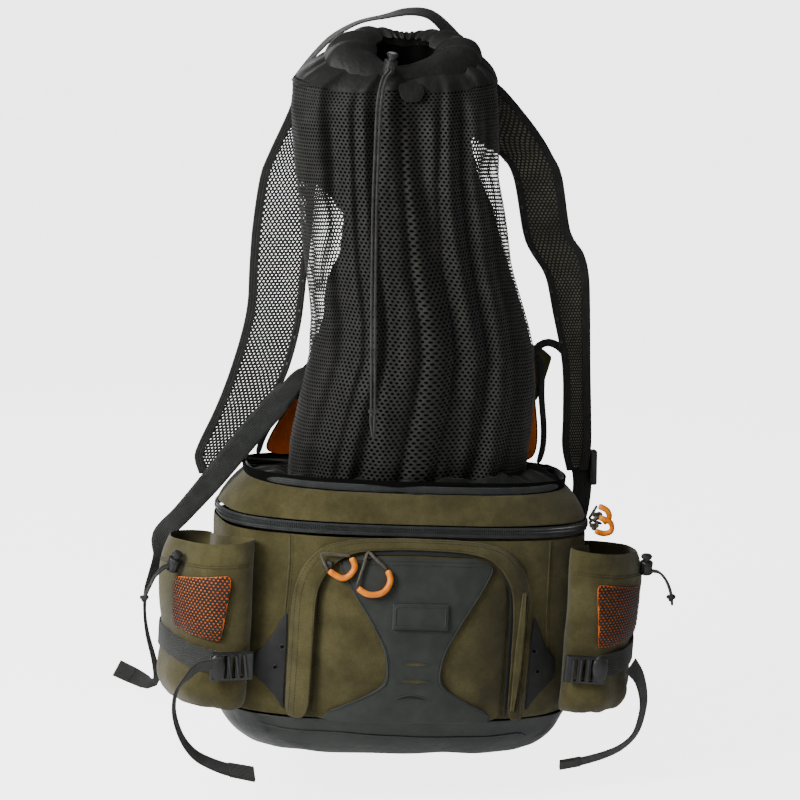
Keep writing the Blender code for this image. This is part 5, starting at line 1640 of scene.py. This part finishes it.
RING_THIN, BARREL_RADIUS, BUTTON_RADIUS = 0.5, 7.0, 5.9
RIB_HEIGHTS, RIM_AT, DOME_AT = (2.0, 11.0, 13.2), 20.4, 22.2
BUTTON_BODY = {"sack": "sack_press", "pocket_left": "left_press", "pocket_right": "right_press"}
pale_plastic = plain_finish(
    "pale_plastic", [(0.18, 0.18, 0.17), (0.24, 0.24, 0.23), (0.30, 0.30, 0.29)],
    0.4, 120.0, 1400.0, 0.1)
for label, (centre, axis, _, _, _) in CORD_LOCKS.items():
    for number, height in enumerate(RIB_HEIGHTS):
        ring_at("%s_lock_rib_%d" % (label, number + 1), centre, axis, height, BARREL_RADIUS)
    ring_at(label + "_button_rim", centre, axis, RIM_AT, BUTTON_RADIUS, BUTTON_BODY[label])
    spot = away(np.asarray(centre) + unit(axis) * DOME_AT)
    bpy.ops.mesh.primitive_uv_sphere_add(segments=24, ring_count=12, radius=1.0, location=spot,
                                         rotation=facing(unit(axis)), scale=(0.0048, 0.0048, 0.0013))
    dress(settle(label + "_button_dome"), pale_plastic if label == "sack" else plastic,
          body=BUTTON_BODY[label])
print("locks finished")

# %% Knots of the side pulls
SIDE_KNOTS = [(211.0, -41.0, -527.0, 4.6), (207.0, -46.0, -538.0, 4.2)]
for number, (x, y, z, size) in enumerate(SIDE_KNOTS):
    knot = knot_line("side_pull_knot_%d" % (number + 1), leaned((x, y, z)), size, 1.6)
    dress(knot, olive_cord)
print("knots tied")

# %% [markdown]
# ### Zip pulls
#
# Each zip slider carries a loop of thin cord whose ends go into a bent length of soft orange tube.
# The front zip's two sliders are small rounded blocks on its coil.

# %% Pull tubes, cords and sliders
for label in ("front_pull_1", "front_pull_2", "side_pull_1", "side_pull_2"):
    cloth(label + "_tube", label + "_soft_tube", 2, tube)
    thin = take(label + "_cord", label + "_thin_cord", 1)
    step(thin, "DISPLACE", strength=0.0006, mid_level=0.0)
    dress(thin, olive_cord, [label + "_cord"])
SLIDERS = [("front_slider_1", (-96.0, -573.0)), ("front_slider_2", (-52.0, -564.0))]
for name, place in SLIDERS:
    rows = [row for tree in (front_tree, panel_tree, arch_tree) for row in on_front(tree, [place], 0.0)]
    spot, normal = rows[0]
    bpy.ops.mesh.primitive_cube_add(size=1.0, location=spot + normal * 0.0016, rotation=facing(normal),
                                    scale=(0.011, 0.0075, 0.0036))
    slider = settle(name)
    step(slider, "BEVEL", width=0.0012, segments=3)
    dress(slider, plastic)
print("pulls finished")

# %% [markdown]
# ## Hip belt
#
# The photo hides the belt. It is finished plainly: two padded wings behind the pack, webbing and a
# fastened buckle.

# %% Belt
# x and depth of the webbing that bends from each wing to the buckle.
BELT_BEND = [(134.0, 222.0, 0.0), (126.0, 233.0, 0.0), (117.0, 246.0, 0.0), (100.0, 260.5, 0.0)]
joint = smooth_rows(BELT_BEND, 4.0)
for side, sign in SIDES.items():
    wing = cloth("belt_wing_" + side, "belt_wing_pad_" + side, 3, foam)
    bevelled_strap("belt_webbing_" + side, "belt_web_" + side, 0.0005)
    low, high = drawn_box("belt_webbing_" + side)
    centres = np.stack([joint[:, 0] * sign, joint[:, 1], np.full(len(joint), (low[2] + high[2]) / 2)],
                       axis=-1)
    across = np.zeros_like(centres)
    across[:, 2] = (high[2] - low[2]) * 0.96
    loft_band("belt_joint_" + side, centres, across, 2.4, level_webbing)
print("belt finished")

# %% The end
print("all pieces built")
